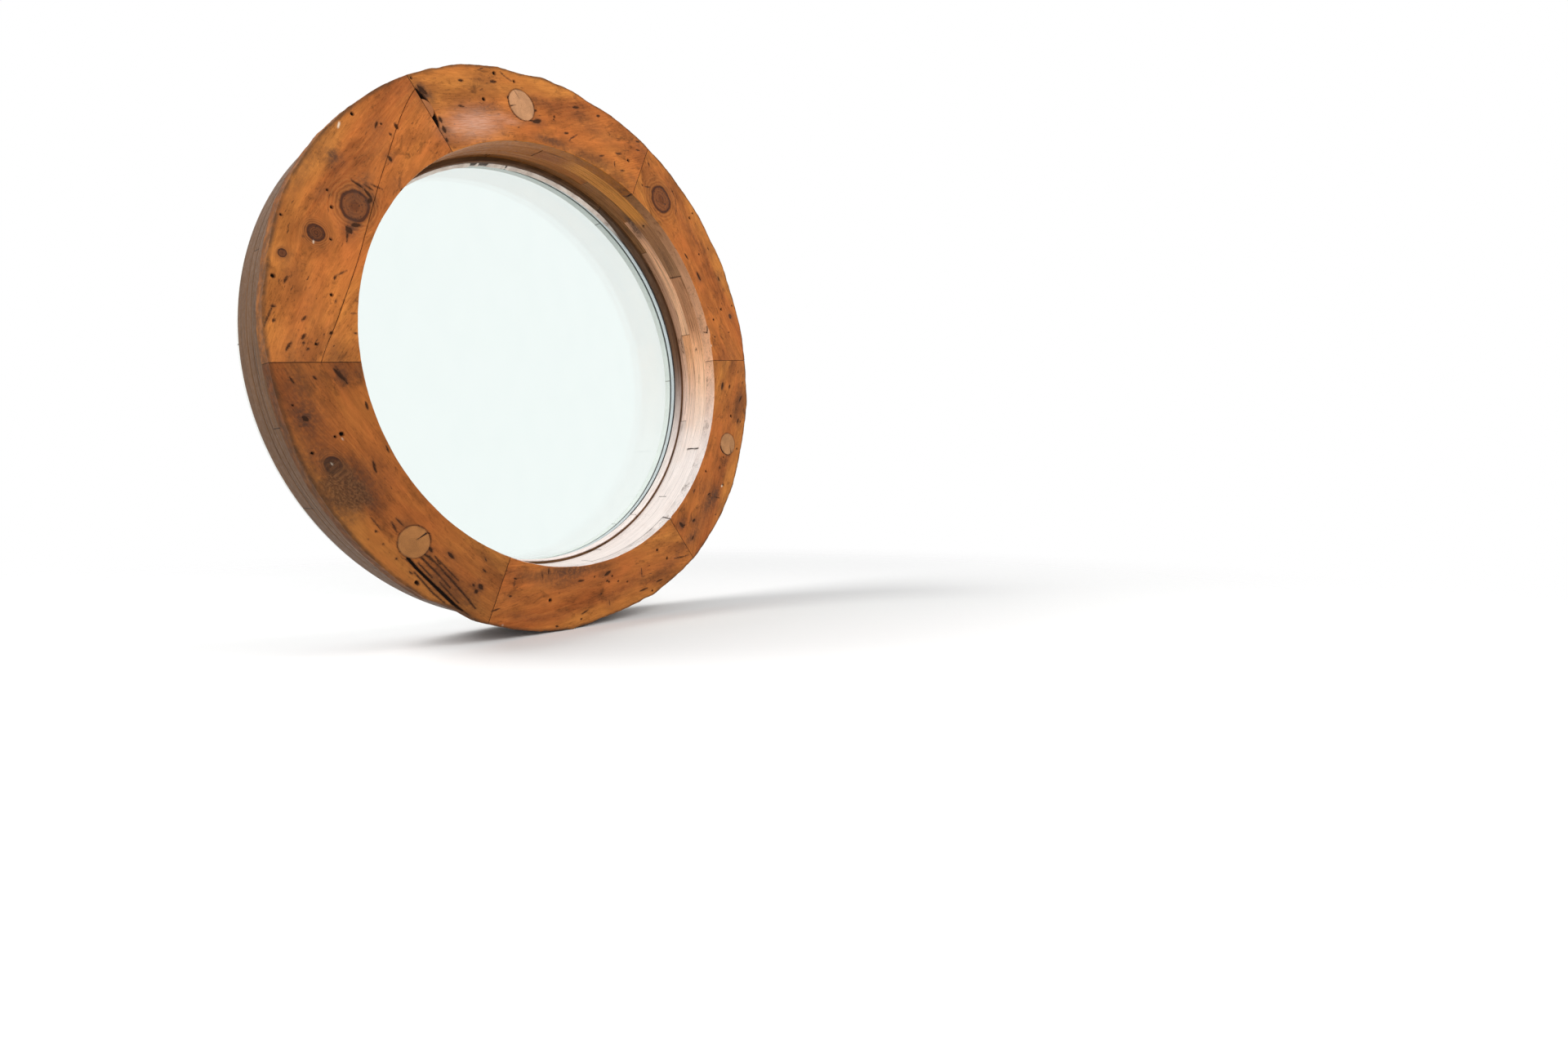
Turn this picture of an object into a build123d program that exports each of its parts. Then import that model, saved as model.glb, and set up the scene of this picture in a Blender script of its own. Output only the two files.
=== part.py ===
from build123d import *
import math
import os

os.makedirs("parts", exist_ok=True)

# A fixed round window in a laminated timber ring, in millimetres.
# The axis of the ring is Y. The room is on the -Y side, the outdoors on the +Y side, and +Z is up.
# The origin is on the axis, in the plane where the back of the face layer seats on the wall's framing.
# Angles are in degrees, counted from +X towards +Z, anticlockwise as seen from the room.

# Driving sizes of the timber ring: its bore, and how wide its boards are there
bore_radius = 496.0
face_width = 155.0
body_width = 136.0
segments_per_layer = 6
bore_arris = 1.5

# Thickness of each layer and the angle of its first joint
face_thickness = 32.0
face_joint = 9.0
second_thickness = 45.0
second_joint = 38.5
third_thickness = 30.0
third_joint = 19.0
fourth_thickness = 23.0
fourth_joint = 49.0
back_joint = 34.0

# The rim of the face layer is hewn by hand: bites are angle, half width in degrees, and depth
rim_step = 3.0
rim_bites = (
    (7.0, 8.0, 4.0),
    (27.0, 8.0, 4.5),
    (43.0, 5.0, 3.0),
    (56.0, 5.0, 2.0),
    (86.0, 5.0, 3.5),
    (96.0, 5.0, 1.5),
    (104.0, 5.0, 7.0),
    (112.0, 5.0, 3.0),
    (125.0, 9.0, 3.5),
    (139.0, 10.0, 4.5),
    (151.0, 8.0, 2.5),
    (173.0, 8.0, 2.5),
    (194.0, 9.0, 2.0),
    (241.5, 5.5, 8.0),
    (255.0, 10.0, 1.5),
    (267.0, 7.0, 3.0),
    (281.0, 12.0, 13.5),
    (297.0, 12.0, 6.5),
    (315.0, 9.0, 1.5),
    (345.0, 11.0, 5.0),
)

# Seam of the two boards of the third face segment: degrees past its first joint, share of the face's width
split_segment = 3
seam_points = (
    (0.0, 0.80),
    (16.0, 0.32),
    (36.0, 0.085),
    (51.0, 0.22),
    (60.0, 0.45),
)

# Pegs through the first three layers: angle, and timber left between the peg and the body's outside
peg_radius = 32.5
peg_places = (
    (105.2, 25.0),
    (227.0, 25.0),
    (343.5, 17.5),
)

# Knot hole at the end of the second face segment, and the half-round filler glued into it
knot_segment = 2
knot_rim_distance = 68.0
knot_length = 80.0
knot_width = 30.0
knot_depth = 12.0
filler_radius = 18.0
filler_offset = 5.0

# Sealed double-glazed unit
pane_thickness = 4.0
spacer_width = 12.0
spacer_height = 6.5
seal_height = 4.5
spacer_setback = 3.0
edge_clearance = 5.0
block_sweep = 10.0
block_angles = (255.0, 285.0)

# Inner stop, tapes, putty and outer casing
stop_projection = 10.0
stop_thickness = 22.0
stop_pieces = 3
stop_joint = 69.0
stop_chamfer = 4.0
tape_thickness = 4.0
outer_tape_thickness = 2.0
tape_cover = 2.0
putty_reach = 6.5
putty_rise = 15.0
putty_start = -51.0
putty_sweep = 240.0
casing_margin = 4.0
casing_setback = 3.0
casing_thickness = 22.0
casing_joint = 4.0
casing_chamfer = 3.0

# Places along Y that follow from the sizes above
face_front = -face_thickness
second_front = 0.0
third_front = second_front + second_thickness
fourth_front = third_front + third_thickness
back_front = fourth_front + fourth_thickness
tape_front = back_front + stop_thickness
unit_front = tape_front + tape_thickness
spacer_front = unit_front + pane_thickness
outer_pane_front = spacer_front + spacer_width
outer_tape_front = outer_pane_front + pane_thickness
casing_front = outer_tape_front + outer_tape_thickness
back_thickness = casing_front - back_front
unit_thickness = outer_tape_front - unit_front
peg_length = face_thickness + second_thickness + third_thickness

# Radii that follow from the sizes above
rim_radius = bore_radius + face_width
body_radius = bore_radius + body_width
knot_centre_radius = rim_radius - knot_rim_distance
stop_sight_radius = bore_radius - stop_projection
casing_sight_radius = stop_sight_radius + casing_setback
casing_radius = body_radius - casing_margin
spacer_sight_radius = stop_sight_radius + spacer_setback
spacer_radius = spacer_sight_radius + spacer_height
unit_radius = spacer_radius + seal_height
rebate_radius = unit_radius + edge_clearance
pitch = 360.0 / segments_per_layer
room_axis = Axis((0, 0, 0), (0, -1, 0))


def front_plane(place):
    """Sketch plane square to the axis at a place along Y; extruding by a negative amount goes outdoors."""
    return Plane.XZ.offset(-place)


def section_plane(angle):
    """Sketch plane through the axis at an angle: local x is the radius, local y runs outdoors."""
    across = (math.cos(math.radians(angle)), 0, math.sin(math.radians(angle)))
    normal = (-across[2], 0, across[0])
    return Plane(origin=(0, 0, 0), x_dir=across, z_dir=normal)


def polar(radius, angle):
    """Point of a front plane at a radius and an angle in degrees."""
    return (radius * math.cos(math.radians(angle)), radius * math.sin(math.radians(angle)))


def rim_at(angle):
    """Radius of the hewn rim at an angle: the full radius less the bites that reach it."""
    radius = rim_radius
    for centre, half_width, depth in rim_bites:
        away = abs((angle - centre + 180.0) % 360.0 - 180.0)
        if away < half_width:
            radius -= depth * (1.0 - (away / half_width) ** 2)
    return radius


def rim_points(start, sweep):
    """Corners of the hewn rim between two joints."""
    count = max(2, round(sweep / rim_step))
    angles = [start + sweep * index / count for index in range(count + 1)]
    return [polar(rim_at(angle), angle) for angle in angles]


def sector_solid(start, sweep, inner, outer, front, thickness):
    """Arc-shaped board between two radii and two radial joints."""
    end = start + sweep
    with BuildPart() as board:
        with BuildSketch(front_plane(front)):
            with BuildLine():
                CenterArc((0, 0), outer, start, sweep)
                Line(polar(outer, end), polar(inner, end))
                CenterArc((0, 0), inner, start, sweep)
                Line(polar(inner, start), polar(outer, start))
            make_face()
        extrude(amount=-thickness)
    return board


def add_arris(board, radius, front, size):
    """Chamfer the front edge that runs round a bore of the given radius."""
    with board:
        edges = board.edges().filter_by(GeomType.CIRCLE)
        edges = edges.filter_by(lambda edge: abs(edge.radius - radius) < 0.01)
        edges = edges.filter_by(lambda edge: abs(edge.center().Y - front) < 0.01)
        chamfer(edges, size)


def peg_centre(angle, cover):
    """Centre of a peg on a front plane."""
    return polar(body_radius - cover - peg_radius, angle)


def cut_pegs(board):
    """Bore the peg holes where they pass through a board."""
    with board:
        with BuildSketch(front_plane(face_front)) as holes:
            with Locations(*[peg_centre(angle, cover) for angle, cover in peg_places]):
                Circle(peg_radius)
        extrude(holes.sketch, amount=-peg_length, mode=Mode.SUBTRACT)


def finish_piece(board, name):
    """Label a finished piece and write it."""
    board.part.label = name
    export_step(board.part, f"parts/{name}.step")


def joint_angles(first):
    """Start angles of the segments of a layer."""
    return [first + pitch * index for index in range(segments_per_layer)]


def seam_line(start):
    """Seam of the split segment, from its first joint to its second."""
    return [polar(bore_radius + share * face_width, start + past) for past, share in seam_points]


# Face layer: radial joints, plain bore, hewn rim
def face_board(start):
    """Whole segment of the face layer."""
    end = start + pitch
    rim = rim_points(start, pitch)
    with BuildPart() as board:
        with BuildSketch(front_plane(face_front)):
            with BuildLine():
                Polyline(*rim)
                Line(rim[-1], polar(bore_radius, end))
                CenterArc((0, 0), bore_radius, start, pitch)
                Line(polar(bore_radius, start), rim[0])
            make_face()
        extrude(amount=-face_thickness)
    return board


def outer_board(start):
    """Outer board of the split segment, between the seam and the hewn rim."""
    rim = rim_points(start, pitch)
    seam = seam_line(start)
    with BuildPart() as board:
        with BuildSketch(front_plane(face_front)):
            with BuildLine():
                Polyline(*rim)
                Line(rim[-1], seam[-1])
                Spline(*seam)
                Line(seam[0], rim[0])
            make_face()
        extrude(amount=-face_thickness)
    return board


def inner_board(start):
    """Inner board of the split segment, between the bore and the seam."""
    end = start + pitch
    seam = seam_line(start)
    with BuildPart() as board:
        with BuildSketch(front_plane(face_front)):
            with BuildLine():
                Spline(*seam)
                Line(seam[-1], polar(bore_radius, end))
                CenterArc((0, 0), bore_radius, start, pitch)
                Line(polar(bore_radius, start), seam[0])
            make_face()
        extrude(amount=-face_thickness)
    return board


def cut_knot_hole(board, end):
    """Sink the knot hole into the end of a board, half an ellipse on its joint."""
    with board:
        with BuildSketch(front_plane(face_front)) as hole:
            with Locations(Location((*polar(knot_centre_radius, end), 0), (0, 0, end))):
                Ellipse(knot_length / 2, knot_width / 2)
        extrude(hole.sketch, amount=-knot_depth, mode=Mode.SUBTRACT)


for number, start in enumerate(joint_angles(face_joint), 1):
    if number == split_segment:
        boards = {"outer": outer_board(start), "inner": inner_board(start)}
    else:
        boards = {"": face_board(start)}
    for place, board in boards.items():
        if place != "outer":
            add_arris(board, bore_radius, face_front, bore_arris)
        if number == knot_segment:
            cut_knot_hole(board, start + pitch)
        cut_pegs(board)
        finish_piece(board, f"face_segment_{number}" + (f"_{place}" if place else ""))

# Filler: part of a disc, flush with the face and cut off along the joint
filler_end = face_joint + pitch * knot_segment
with BuildPart() as filler:
    with BuildSketch(front_plane(face_front)):
        with Locations(Location((*polar(knot_centre_radius, filler_end), 0), (0, 0, filler_end))):
            with Locations((0, filler_offset)):
                Circle(filler_radius)
            with Locations((0, filler_radius)):
                Rectangle(4 * filler_radius, 2 * filler_radius, mode=Mode.SUBTRACT)
    extrude(amount=-knot_depth)
finish_piece(filler, "knot_filler")

# Second, third and fourth layers: the same boards, with joints that miss those of their neighbours
inner_layers = (
    ("second_layer", second_joint, second_front, second_thickness),
    ("third_layer", third_joint, third_front, third_thickness),
    ("fourth_layer", fourth_joint, fourth_front, fourth_thickness),
)
for layer, first, front, thickness in inner_layers:
    for number, start in enumerate(joint_angles(first), 1):
        board = sector_solid(start, pitch, bore_radius, body_radius, front, thickness)
        if front < face_front + peg_length:
            cut_pegs(board)
        finish_piece(board, f"{layer}_segment_{number}")

# Back layer: a larger bore makes the rebate for the glass
for number, start in enumerate(joint_angles(back_joint), 1):
    board = sector_solid(start, pitch, rebate_radius, body_radius, back_front, back_thickness)
    finish_piece(board, f"back_layer_segment_{number}")

# Pegs: end-grain dowels, flush with the face
for number, (angle, cover) in enumerate(peg_places, 1):
    with BuildPart() as peg:
        with BuildSketch(front_plane(face_front)):
            with Locations(peg_centre(angle, cover)):
                Circle(peg_radius)
        extrude(amount=-peg_length)
    finish_piece(peg, f"peg_{number}")

# Inner stop: curved strips against the fourth layer, bevelled towards the room
stop_sweep = 360.0 / stop_pieces
for number in range(1, stop_pieces + 1):
    start = stop_joint + stop_sweep * (number - 1)
    strip = sector_solid(start, stop_sweep, stop_sight_radius, rebate_radius, back_front, stop_thickness)
    add_arris(strip, stop_sight_radius, back_front, stop_chamfer)
    finish_piece(strip, f"inner_stop_{number}")


def ring_solid(inner, outer, front, thickness):
    """Plain ring between two radii."""
    with BuildPart() as ring:
        with BuildSketch(front_plane(front)):
            Circle(outer)
            Circle(inner, mode=Mode.SUBTRACT)
        extrude(amount=-thickness)
    return ring


def disc_solid(radius, front, thickness):
    """Plain disc."""
    with BuildPart() as disc:
        with BuildSketch(front_plane(front)):
            Circle(radius)
        extrude(amount=-thickness)
    return disc


# Glazing tapes, one each side of the unit
tape_radius = stop_sight_radius + tape_cover
finish_piece(ring_solid(tape_radius, unit_radius, tape_front, tape_thickness), "inner_glazing_tape")
outer_tape_radius = casing_sight_radius + tape_cover
outer_tape = ring_solid(outer_tape_radius, unit_radius, outer_tape_front, outer_tape_thickness)
finish_piece(outer_tape, "outer_glazing_tape")

# Sealed unit: two panes, the bar that spaces them and the seal round its edge
finish_piece(disc_solid(unit_radius, unit_front, pane_thickness), "inner_pane")
finish_piece(disc_solid(unit_radius, outer_pane_front, pane_thickness), "outer_pane")
finish_piece(ring_solid(spacer_sight_radius, spacer_radius, spacer_front, spacer_width), "spacer_bar")
finish_piece(ring_solid(spacer_radius, unit_radius, spacer_front, spacer_width), "edge_seal")

# Setting blocks: the unit stands on these in the bottom of the rebate
for number, angle in enumerate(block_angles, 1):
    start = angle - block_sweep / 2
    block = sector_solid(start, block_sweep, unit_radius, rebate_radius, unit_front, unit_thickness)
    finish_piece(block, f"setting_block_{number}")

# Putty bead: a slope from the sight face of the stop and tape to the inner pane
with BuildPart() as putty_bead:
    with BuildSketch(section_plane(putty_start)):
        with BuildLine():
            Polyline(
                (stop_sight_radius, unit_front - putty_rise),
                (stop_sight_radius, tape_front),
                (tape_radius, tape_front),
                (tape_radius, unit_front),
                (stop_sight_radius - putty_reach, unit_front),
                close=True,
            )
        make_face()
    revolve(axis=room_axis, revolution_arc=putty_sweep)
finish_piece(putty_bead, "putty_bead")

# Outer casing: painted ring over the back layer that keeps the unit in
for number, start in enumerate(joint_angles(casing_joint), 1):
    board = sector_solid(start, pitch, casing_sight_radius, casing_radius, casing_front, casing_thickness)
    with board:
        back_arcs = board.edges().filter_by(GeomType.CIRCLE).group_by(Axis.Y)[-1]
        chamfer(back_arcs, casing_chamfer)
    finish_piece(board, f"outer_casing_{number}")
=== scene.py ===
import math
from typing import NamedTuple

import bpy
import numpy as np
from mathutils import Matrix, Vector


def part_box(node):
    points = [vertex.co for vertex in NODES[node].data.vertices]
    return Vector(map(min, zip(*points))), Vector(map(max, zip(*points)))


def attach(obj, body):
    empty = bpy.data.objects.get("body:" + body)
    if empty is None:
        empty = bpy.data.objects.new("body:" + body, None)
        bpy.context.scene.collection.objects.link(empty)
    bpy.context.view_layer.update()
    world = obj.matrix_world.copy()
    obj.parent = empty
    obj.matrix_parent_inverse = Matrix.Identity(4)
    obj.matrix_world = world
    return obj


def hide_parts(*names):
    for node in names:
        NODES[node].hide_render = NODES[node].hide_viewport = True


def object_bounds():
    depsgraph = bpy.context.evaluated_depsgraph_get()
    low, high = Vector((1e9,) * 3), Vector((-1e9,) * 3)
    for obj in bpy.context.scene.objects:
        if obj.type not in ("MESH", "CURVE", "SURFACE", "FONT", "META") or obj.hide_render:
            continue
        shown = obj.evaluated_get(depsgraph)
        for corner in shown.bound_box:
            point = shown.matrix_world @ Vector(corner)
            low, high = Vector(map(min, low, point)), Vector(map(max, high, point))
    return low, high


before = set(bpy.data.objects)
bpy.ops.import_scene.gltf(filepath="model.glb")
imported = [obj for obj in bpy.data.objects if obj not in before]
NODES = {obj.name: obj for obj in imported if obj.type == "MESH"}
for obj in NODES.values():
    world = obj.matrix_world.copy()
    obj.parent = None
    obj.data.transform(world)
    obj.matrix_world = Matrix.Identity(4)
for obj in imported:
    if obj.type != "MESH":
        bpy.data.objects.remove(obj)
cad_low, cad_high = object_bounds()

# Round window in a laminated timber ring, dressed for the look of old varnished pine.
# The axis of the ring is Y, the room is on the -Y side and +Z is up. Angles are in degrees, counted
# from +X towards +Z, anticlockwise as seen from the room. Sizes of pieces are in metres. Places and
# sizes of marks are in millimetres.
MM = 0.001
DEGREE = math.radians(1.0)

# Sizes read from the frame
FACE_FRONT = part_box("face_segment_1")[0].y
STOP_FRONT, STOP_BACK = (corner.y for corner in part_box("inner_stop_1"))
PANE_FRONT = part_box("inner_pane")[0].y
CASING_FRONT, CASING_BACK = (corner.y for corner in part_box("outer_casing_1"))

# The same driving sizes as the solids have
BORE = 0.496
STOP_SIGHT = 0.486
REBATE = 0.505
BODY = 0.632
RIM = 0.651
CASING_BORE = 0.489
CASING_RIM = 0.628
PITCH = 60.0
FACE_JOINT = 9.0
PEG_RADIUS = 0.0325
PEGS = ((105.2, 0.5745), (227.0, 0.5745), (343.5, 0.582))

# Where the second, third and fourth layer end along Y
SECOND_END, THIRD_END, FOURTH_END = 0.045, 0.075, 0.098

# The third segment is two boards along a wavy seam: degrees past its first joint, share of the width
SPLIT_NUMBER = 3
SPLIT_START = FACE_JOINT + PITCH * (SPLIT_NUMBER - 1)
SEAM = ((0.0, 0.80), (16.0, 0.32), (36.0, 0.085), (51.0, 0.22), (60.0, 0.45))

# Putty bead between stop and glass: its sweep, how finely it is divided, where it goes from a thin skin
# to a full bead, its middle radius, and the places where it is broken away, by angle and half width
PUTTY_START = -51.0
PUTTY_SWEEP = 240.0
PUTTY_COLUMNS = 1300
PUTTY_FULL = (52, 68)
PUTTY_MIDDLE = 0.483
PUTTY_GAPS = ((112.0, 0.9), (109.6, 0.6), (108.3, 0.9), (101.4, 0.25))

# Middle radius of the face, the step of its mesh, and the place along Y that its deepest mark may reach
FACE_MIDDLE = 0.570
FACE_STEP = 2.1 * MM
DEEPEST = -0.004

# Bites of the hewn rim: angle, half width in degrees, depth
RIM_BITES = (
    (7, 8, 4.0), (27, 8, 4.5), (43, 5, 3.0), (56, 5, 2.0), (86, 5, 3.5), (96, 5, 1.5), (104, 5, 7.0),
    (112, 5, 3.0), (125, 9, 3.5), (139, 10, 4.5), (151, 8, 2.5), (173, 8, 2.5), (194, 9, 2.0),
    (241.5, 5.5, 8.0), (255, 10, 1.5), (267, 7, 3.0), (281, 12, 13.5), (297, 12, 6.5), (315, 9, 1.5),
    (345, 11, 5.0),
)

# Face boards: tone against the mean colour, tilt of the grain in degrees, bow of the grain per metre,
# place of the pith across and below the face in metres, and its slope along the board
FACE_BOARDS = {
    "face_segment_1": (0.96, 0.0, 0.05, -0.05, 0.13, 0.10),
    "face_segment_2": (1.05, -14.0, 0.05, 0.07, 0.10, -0.16),
    "face_segment_3_outer": (1.08, 1.0, 0.2, -0.03, 0.12, 0.14),
    "face_segment_3_inner": (1.05, 7.0, 0.0, 0.10, 0.14, 0.05),
    "face_segment_4": (0.71, -2.0, 0.35, -0.12, 0.07, -0.10),
    "face_segment_5": (0.90, 0.0, 0.05, 0.02, 0.11, 0.20),
    "face_segment_6": (0.92, 0.0, 0.05, 0.06, 0.12, -0.12),
}

# Knots of the face: x, z, half length along the grain, half width, and how burnt the heart is
KNOTS = (
    (279, 485, 37, 35, 0.15), (-502, 212, 31, 27, 0.25), (-567, 143, 16, 15, 0.85),
    (-539, -273, 17, 15, 0.90), (568, 225, 7, 6, 0.8), (-620, 92, 8, 7, 0.6),
)

# How far along and across its middle a board still shows a knot, in metres
BOARD_REACH = (0.36, 0.11)

# Nail and worm holes, their insides painted near-black as dirt with painted shade: x, z, diameter
HOLES = (
    (163, 548, 8), (392, 470, 8), (403, 487, 5), (527, 238, 8), (577, 259, 6), (494, 200, 7), (563, 175, 5),
    (431, 377, 5), (-243, 527, 8), (-219, 594, 8), (-170, 599, 6), (-64, 565, 5), (-65, 558, 4),
    (-507, 382, 7), (-634, 49, 8), (-543, 138, 5), (-549, 226, 5), (-542, 197, 6), (-542, 37, 6),
    (-588, 130, 3), (-567, -57, 5), (-622, 158, 5), (-525, -215, 9), (-573, -253, 6), (-604, -171, 4),
    (-536, -221, 5), (-387, -501, 9), (-75, -571, 9), (248, -581, 6), (75, -572, 4), (100, -544, 5),
    (130, -545, 5), (160, -549, 5), (54, -527, 4), (572, -79, 8), (601, -178, 6), (460, -252, 7),
    (536, -290, 7), (539, -207, 5), (501, -151, 3), (448, -206, 4), (425, 108, 3), (500, 150, 5),
    (-455, 385, 4), (-398, 500, 5), (265, -472, 6), (303, -497, 7), (110, -530, 5),
)

# Dark strokes, dents and short checks of the face: from x, z to x, z, and width
STROKES = (
    (-466, -395, -463, -398, 5), (-480, -410, -478, -412, 3), (-452, -420, -450, -423, 4),
    (-428, -450, -425, -453, 5), (232, 570, 238, 560, 5), (372, 362, 386, 350, 6),
    (421, 322, 438, 303, 10), (513, 332, 520, 321, 6), (467, 407, 472, 401, 4), (466, 165, 473, 158, 7),
    (210, 503, 214, 499, 5), (220, 500, 240, 505, 3), (316, 530, 334, 508, 3), (334, 508, 338, 482, 3),
    (338, 482, 334, 462, 2), (188, 608, 202, 612, 4), (188, 586, 202, 589, 4), (60, 620, 70, 624, 6),
    (-12, 610, 6, 618, 6), (68, 523, 84, 531, 4), (136, 511, 150, 517, 4), (118, 515, 117, 528, 4),
    (122, 550, 138, 556, 4), (-36, 538, -24, 543, 5), (-20, 530, 2, 550, 2.5), (-22, 524, -16, 536, 2),
    (-121, 529, -100, 541, 10), (-130, 528, -122, 532, 4), (-186, 554, -182, 560, 8),
    (-117, 556, -112, 560, 5), (-228, 572, -214, 578, 7), (-300, 541, -290, 545, 6),
    (-300, 488, -288, 491, 4), (-205, 604, -190, 598, 2.5), (-190, 598, -176, 597, 2.5),
    (-430, 396, -424, 388, 8), (-441, 328, -436, 320, 8), (-466, 372, -462, 386, 5),
    (-418, 268, -412, 276, 5), (-440, 374, -436, 370, 5), (-486, 258, -470, 252, 4),
    (-474, 262, -452, 260, 3), (-514, 172, -516, 140, 4), (-516, 168, -508, 160, 14),
    (-508, 174, -492, 180, 8), (-479, 226, -472, 236, 8), (-472, 236, -486, 250, 7),
    (-486, 250, -508, 258, 5), (-538, 66, -534, 74, 4), (-534, 74, -516, 88, 2.5),
    (-618, 40, -612, 54, 5), (-536, 24, -534, 30, 3), (-590, -20, -583, -10, 4),
    (-590, -52, -584, -42, 5), (-588, -60, -586, -56, 4), (-614, -76, -606, -60, 5),
    (-582, -70, -578, -66, 4), (-648, -42, -634, -2, 3), (-637, -4, -630, -2, 5),
    (-634, -30, -631, -24, 5), (-509, 10, -500, 12, 2.5), (-502, 35, -494, 35, 2),
    (-503, -26, -496, -25, 3), (-545, -35, -540, -30, 5), (-538, -97, -521, -115, 8),
    (-535, -92, -515, -122, 4), (-609, -122, -601, -133, 4), (-572, -116, -566, -120, 5),
    (-588, -190, -580, -195, 12), (-470, -262, -464, -284, 6), (-440, -245, -446, -232, 3),
    (-474, -370, -455, -394, 2.5), (-436, -378, -425, -400, 4), (-428, -372, -412, -388, 3),
    (-322, -445, -310, -458, 8), (-361, -432, -356, -442, 8), (-346, -460, -338, -470, 4),
    (-240, -460, -236, -470, 3), (-245, -485, -237, -493, 4), (-253, -518, -246, -528, 12),
    (-262, -528, -258, -536, 10), (-268, -516, -264, -520, 6), (-402, -478, -396, -484, 4),
    (-483, -152, -479, -166, 5), (-388, -502, -382, -506, 7), (-225, -579, -205, -575, 4),
    (-170, -512, -162, -514, 5), (-182, -550, -176, -551, 5), (-98, -503, -95, -520, 3),
    (-78, -495, -80, -510, 3), (-168, -516, -170, -530, 2.5), (4, -534, 22, -533, 5),
    (86, -527, 104, -517, 9), (90, -541, 98, -541, 5), (14, -615, 34, -608, 4), (-60, -634, -52, -636, 6),
    (203, -578, 230, -572, 4.5), (262, -559, 284, -554, 6), (330, -500, 372, -496, 4),
    (372, -496, 380, -494, 2.5), (208, -516, 210, -540, 2.5), (262, -473, 270, -472, 5),
    (12, -628, 16, -626, 6), (100, -590, 102, -604, 2), (530, -4, 536, 18, 9), (564, 4, 568, 16, 7),
    (612, -32, 624, -12, 6), (602, -100, 608, -84, 6), (615, -96, 618, -90, 5), (626, 26, 630, 34, 4),
    (521, -243, 523, -234, 5), (606, 56, 608, 66, 3), (468, -322, 480, -316, 5),
    (480, -316, 476, -330, 4), (486, -326, 522, -330, 3), (500, -380, 506, -379, 4),
    (408, -316, 414, -306, 4), (352, -400, 368, -414, 11), (362, -408, 374, -408, 6),
    (-385, 490, -367, 482, 13), (-333, 431, -328, 420, 10), (-326, 409, -324, 403, 7),
    (-341, 447, -336, 438, 8), (404, -398, 414, -392, 8), (402, -450, 408, -440, 7),
    (482, 28, 486, 34, 5), (320, 520, 326, 524, 3),
)

# Long checks of the fourth board, from x, z to x, z, and width. Wider ones are open and dark.
OPEN_CHECK = 3
CHECKS = (
    (-404, -452, -386, -474, 5.0), (-386, -474, -345, -517, 4.5), (-345, -517, -310, -553, 5.5),
    (-310, -553, -272, -589, 4.5), (-378, -452, -340, -492, 1.5), (-362, -450, -306, -512, 1.2),
    (-350, -452, -300, -505, 0.9), (-330, -486, -284, -540, 1.3), (-352, -478, -318, -518, 0.9),
    (-300, -520, -262, -568, 1.3), (-392, -480, -352, -528, 1.2), (-352, -528, -330, -548, 1.0),
    (-372, -444, -352, -462, 1.6), (-340, -505, -300, -552, 1.0), (-318, -500, -276, -548, 0.8),
    (-384, -462, -356, -494, 1.0),
)

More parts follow.
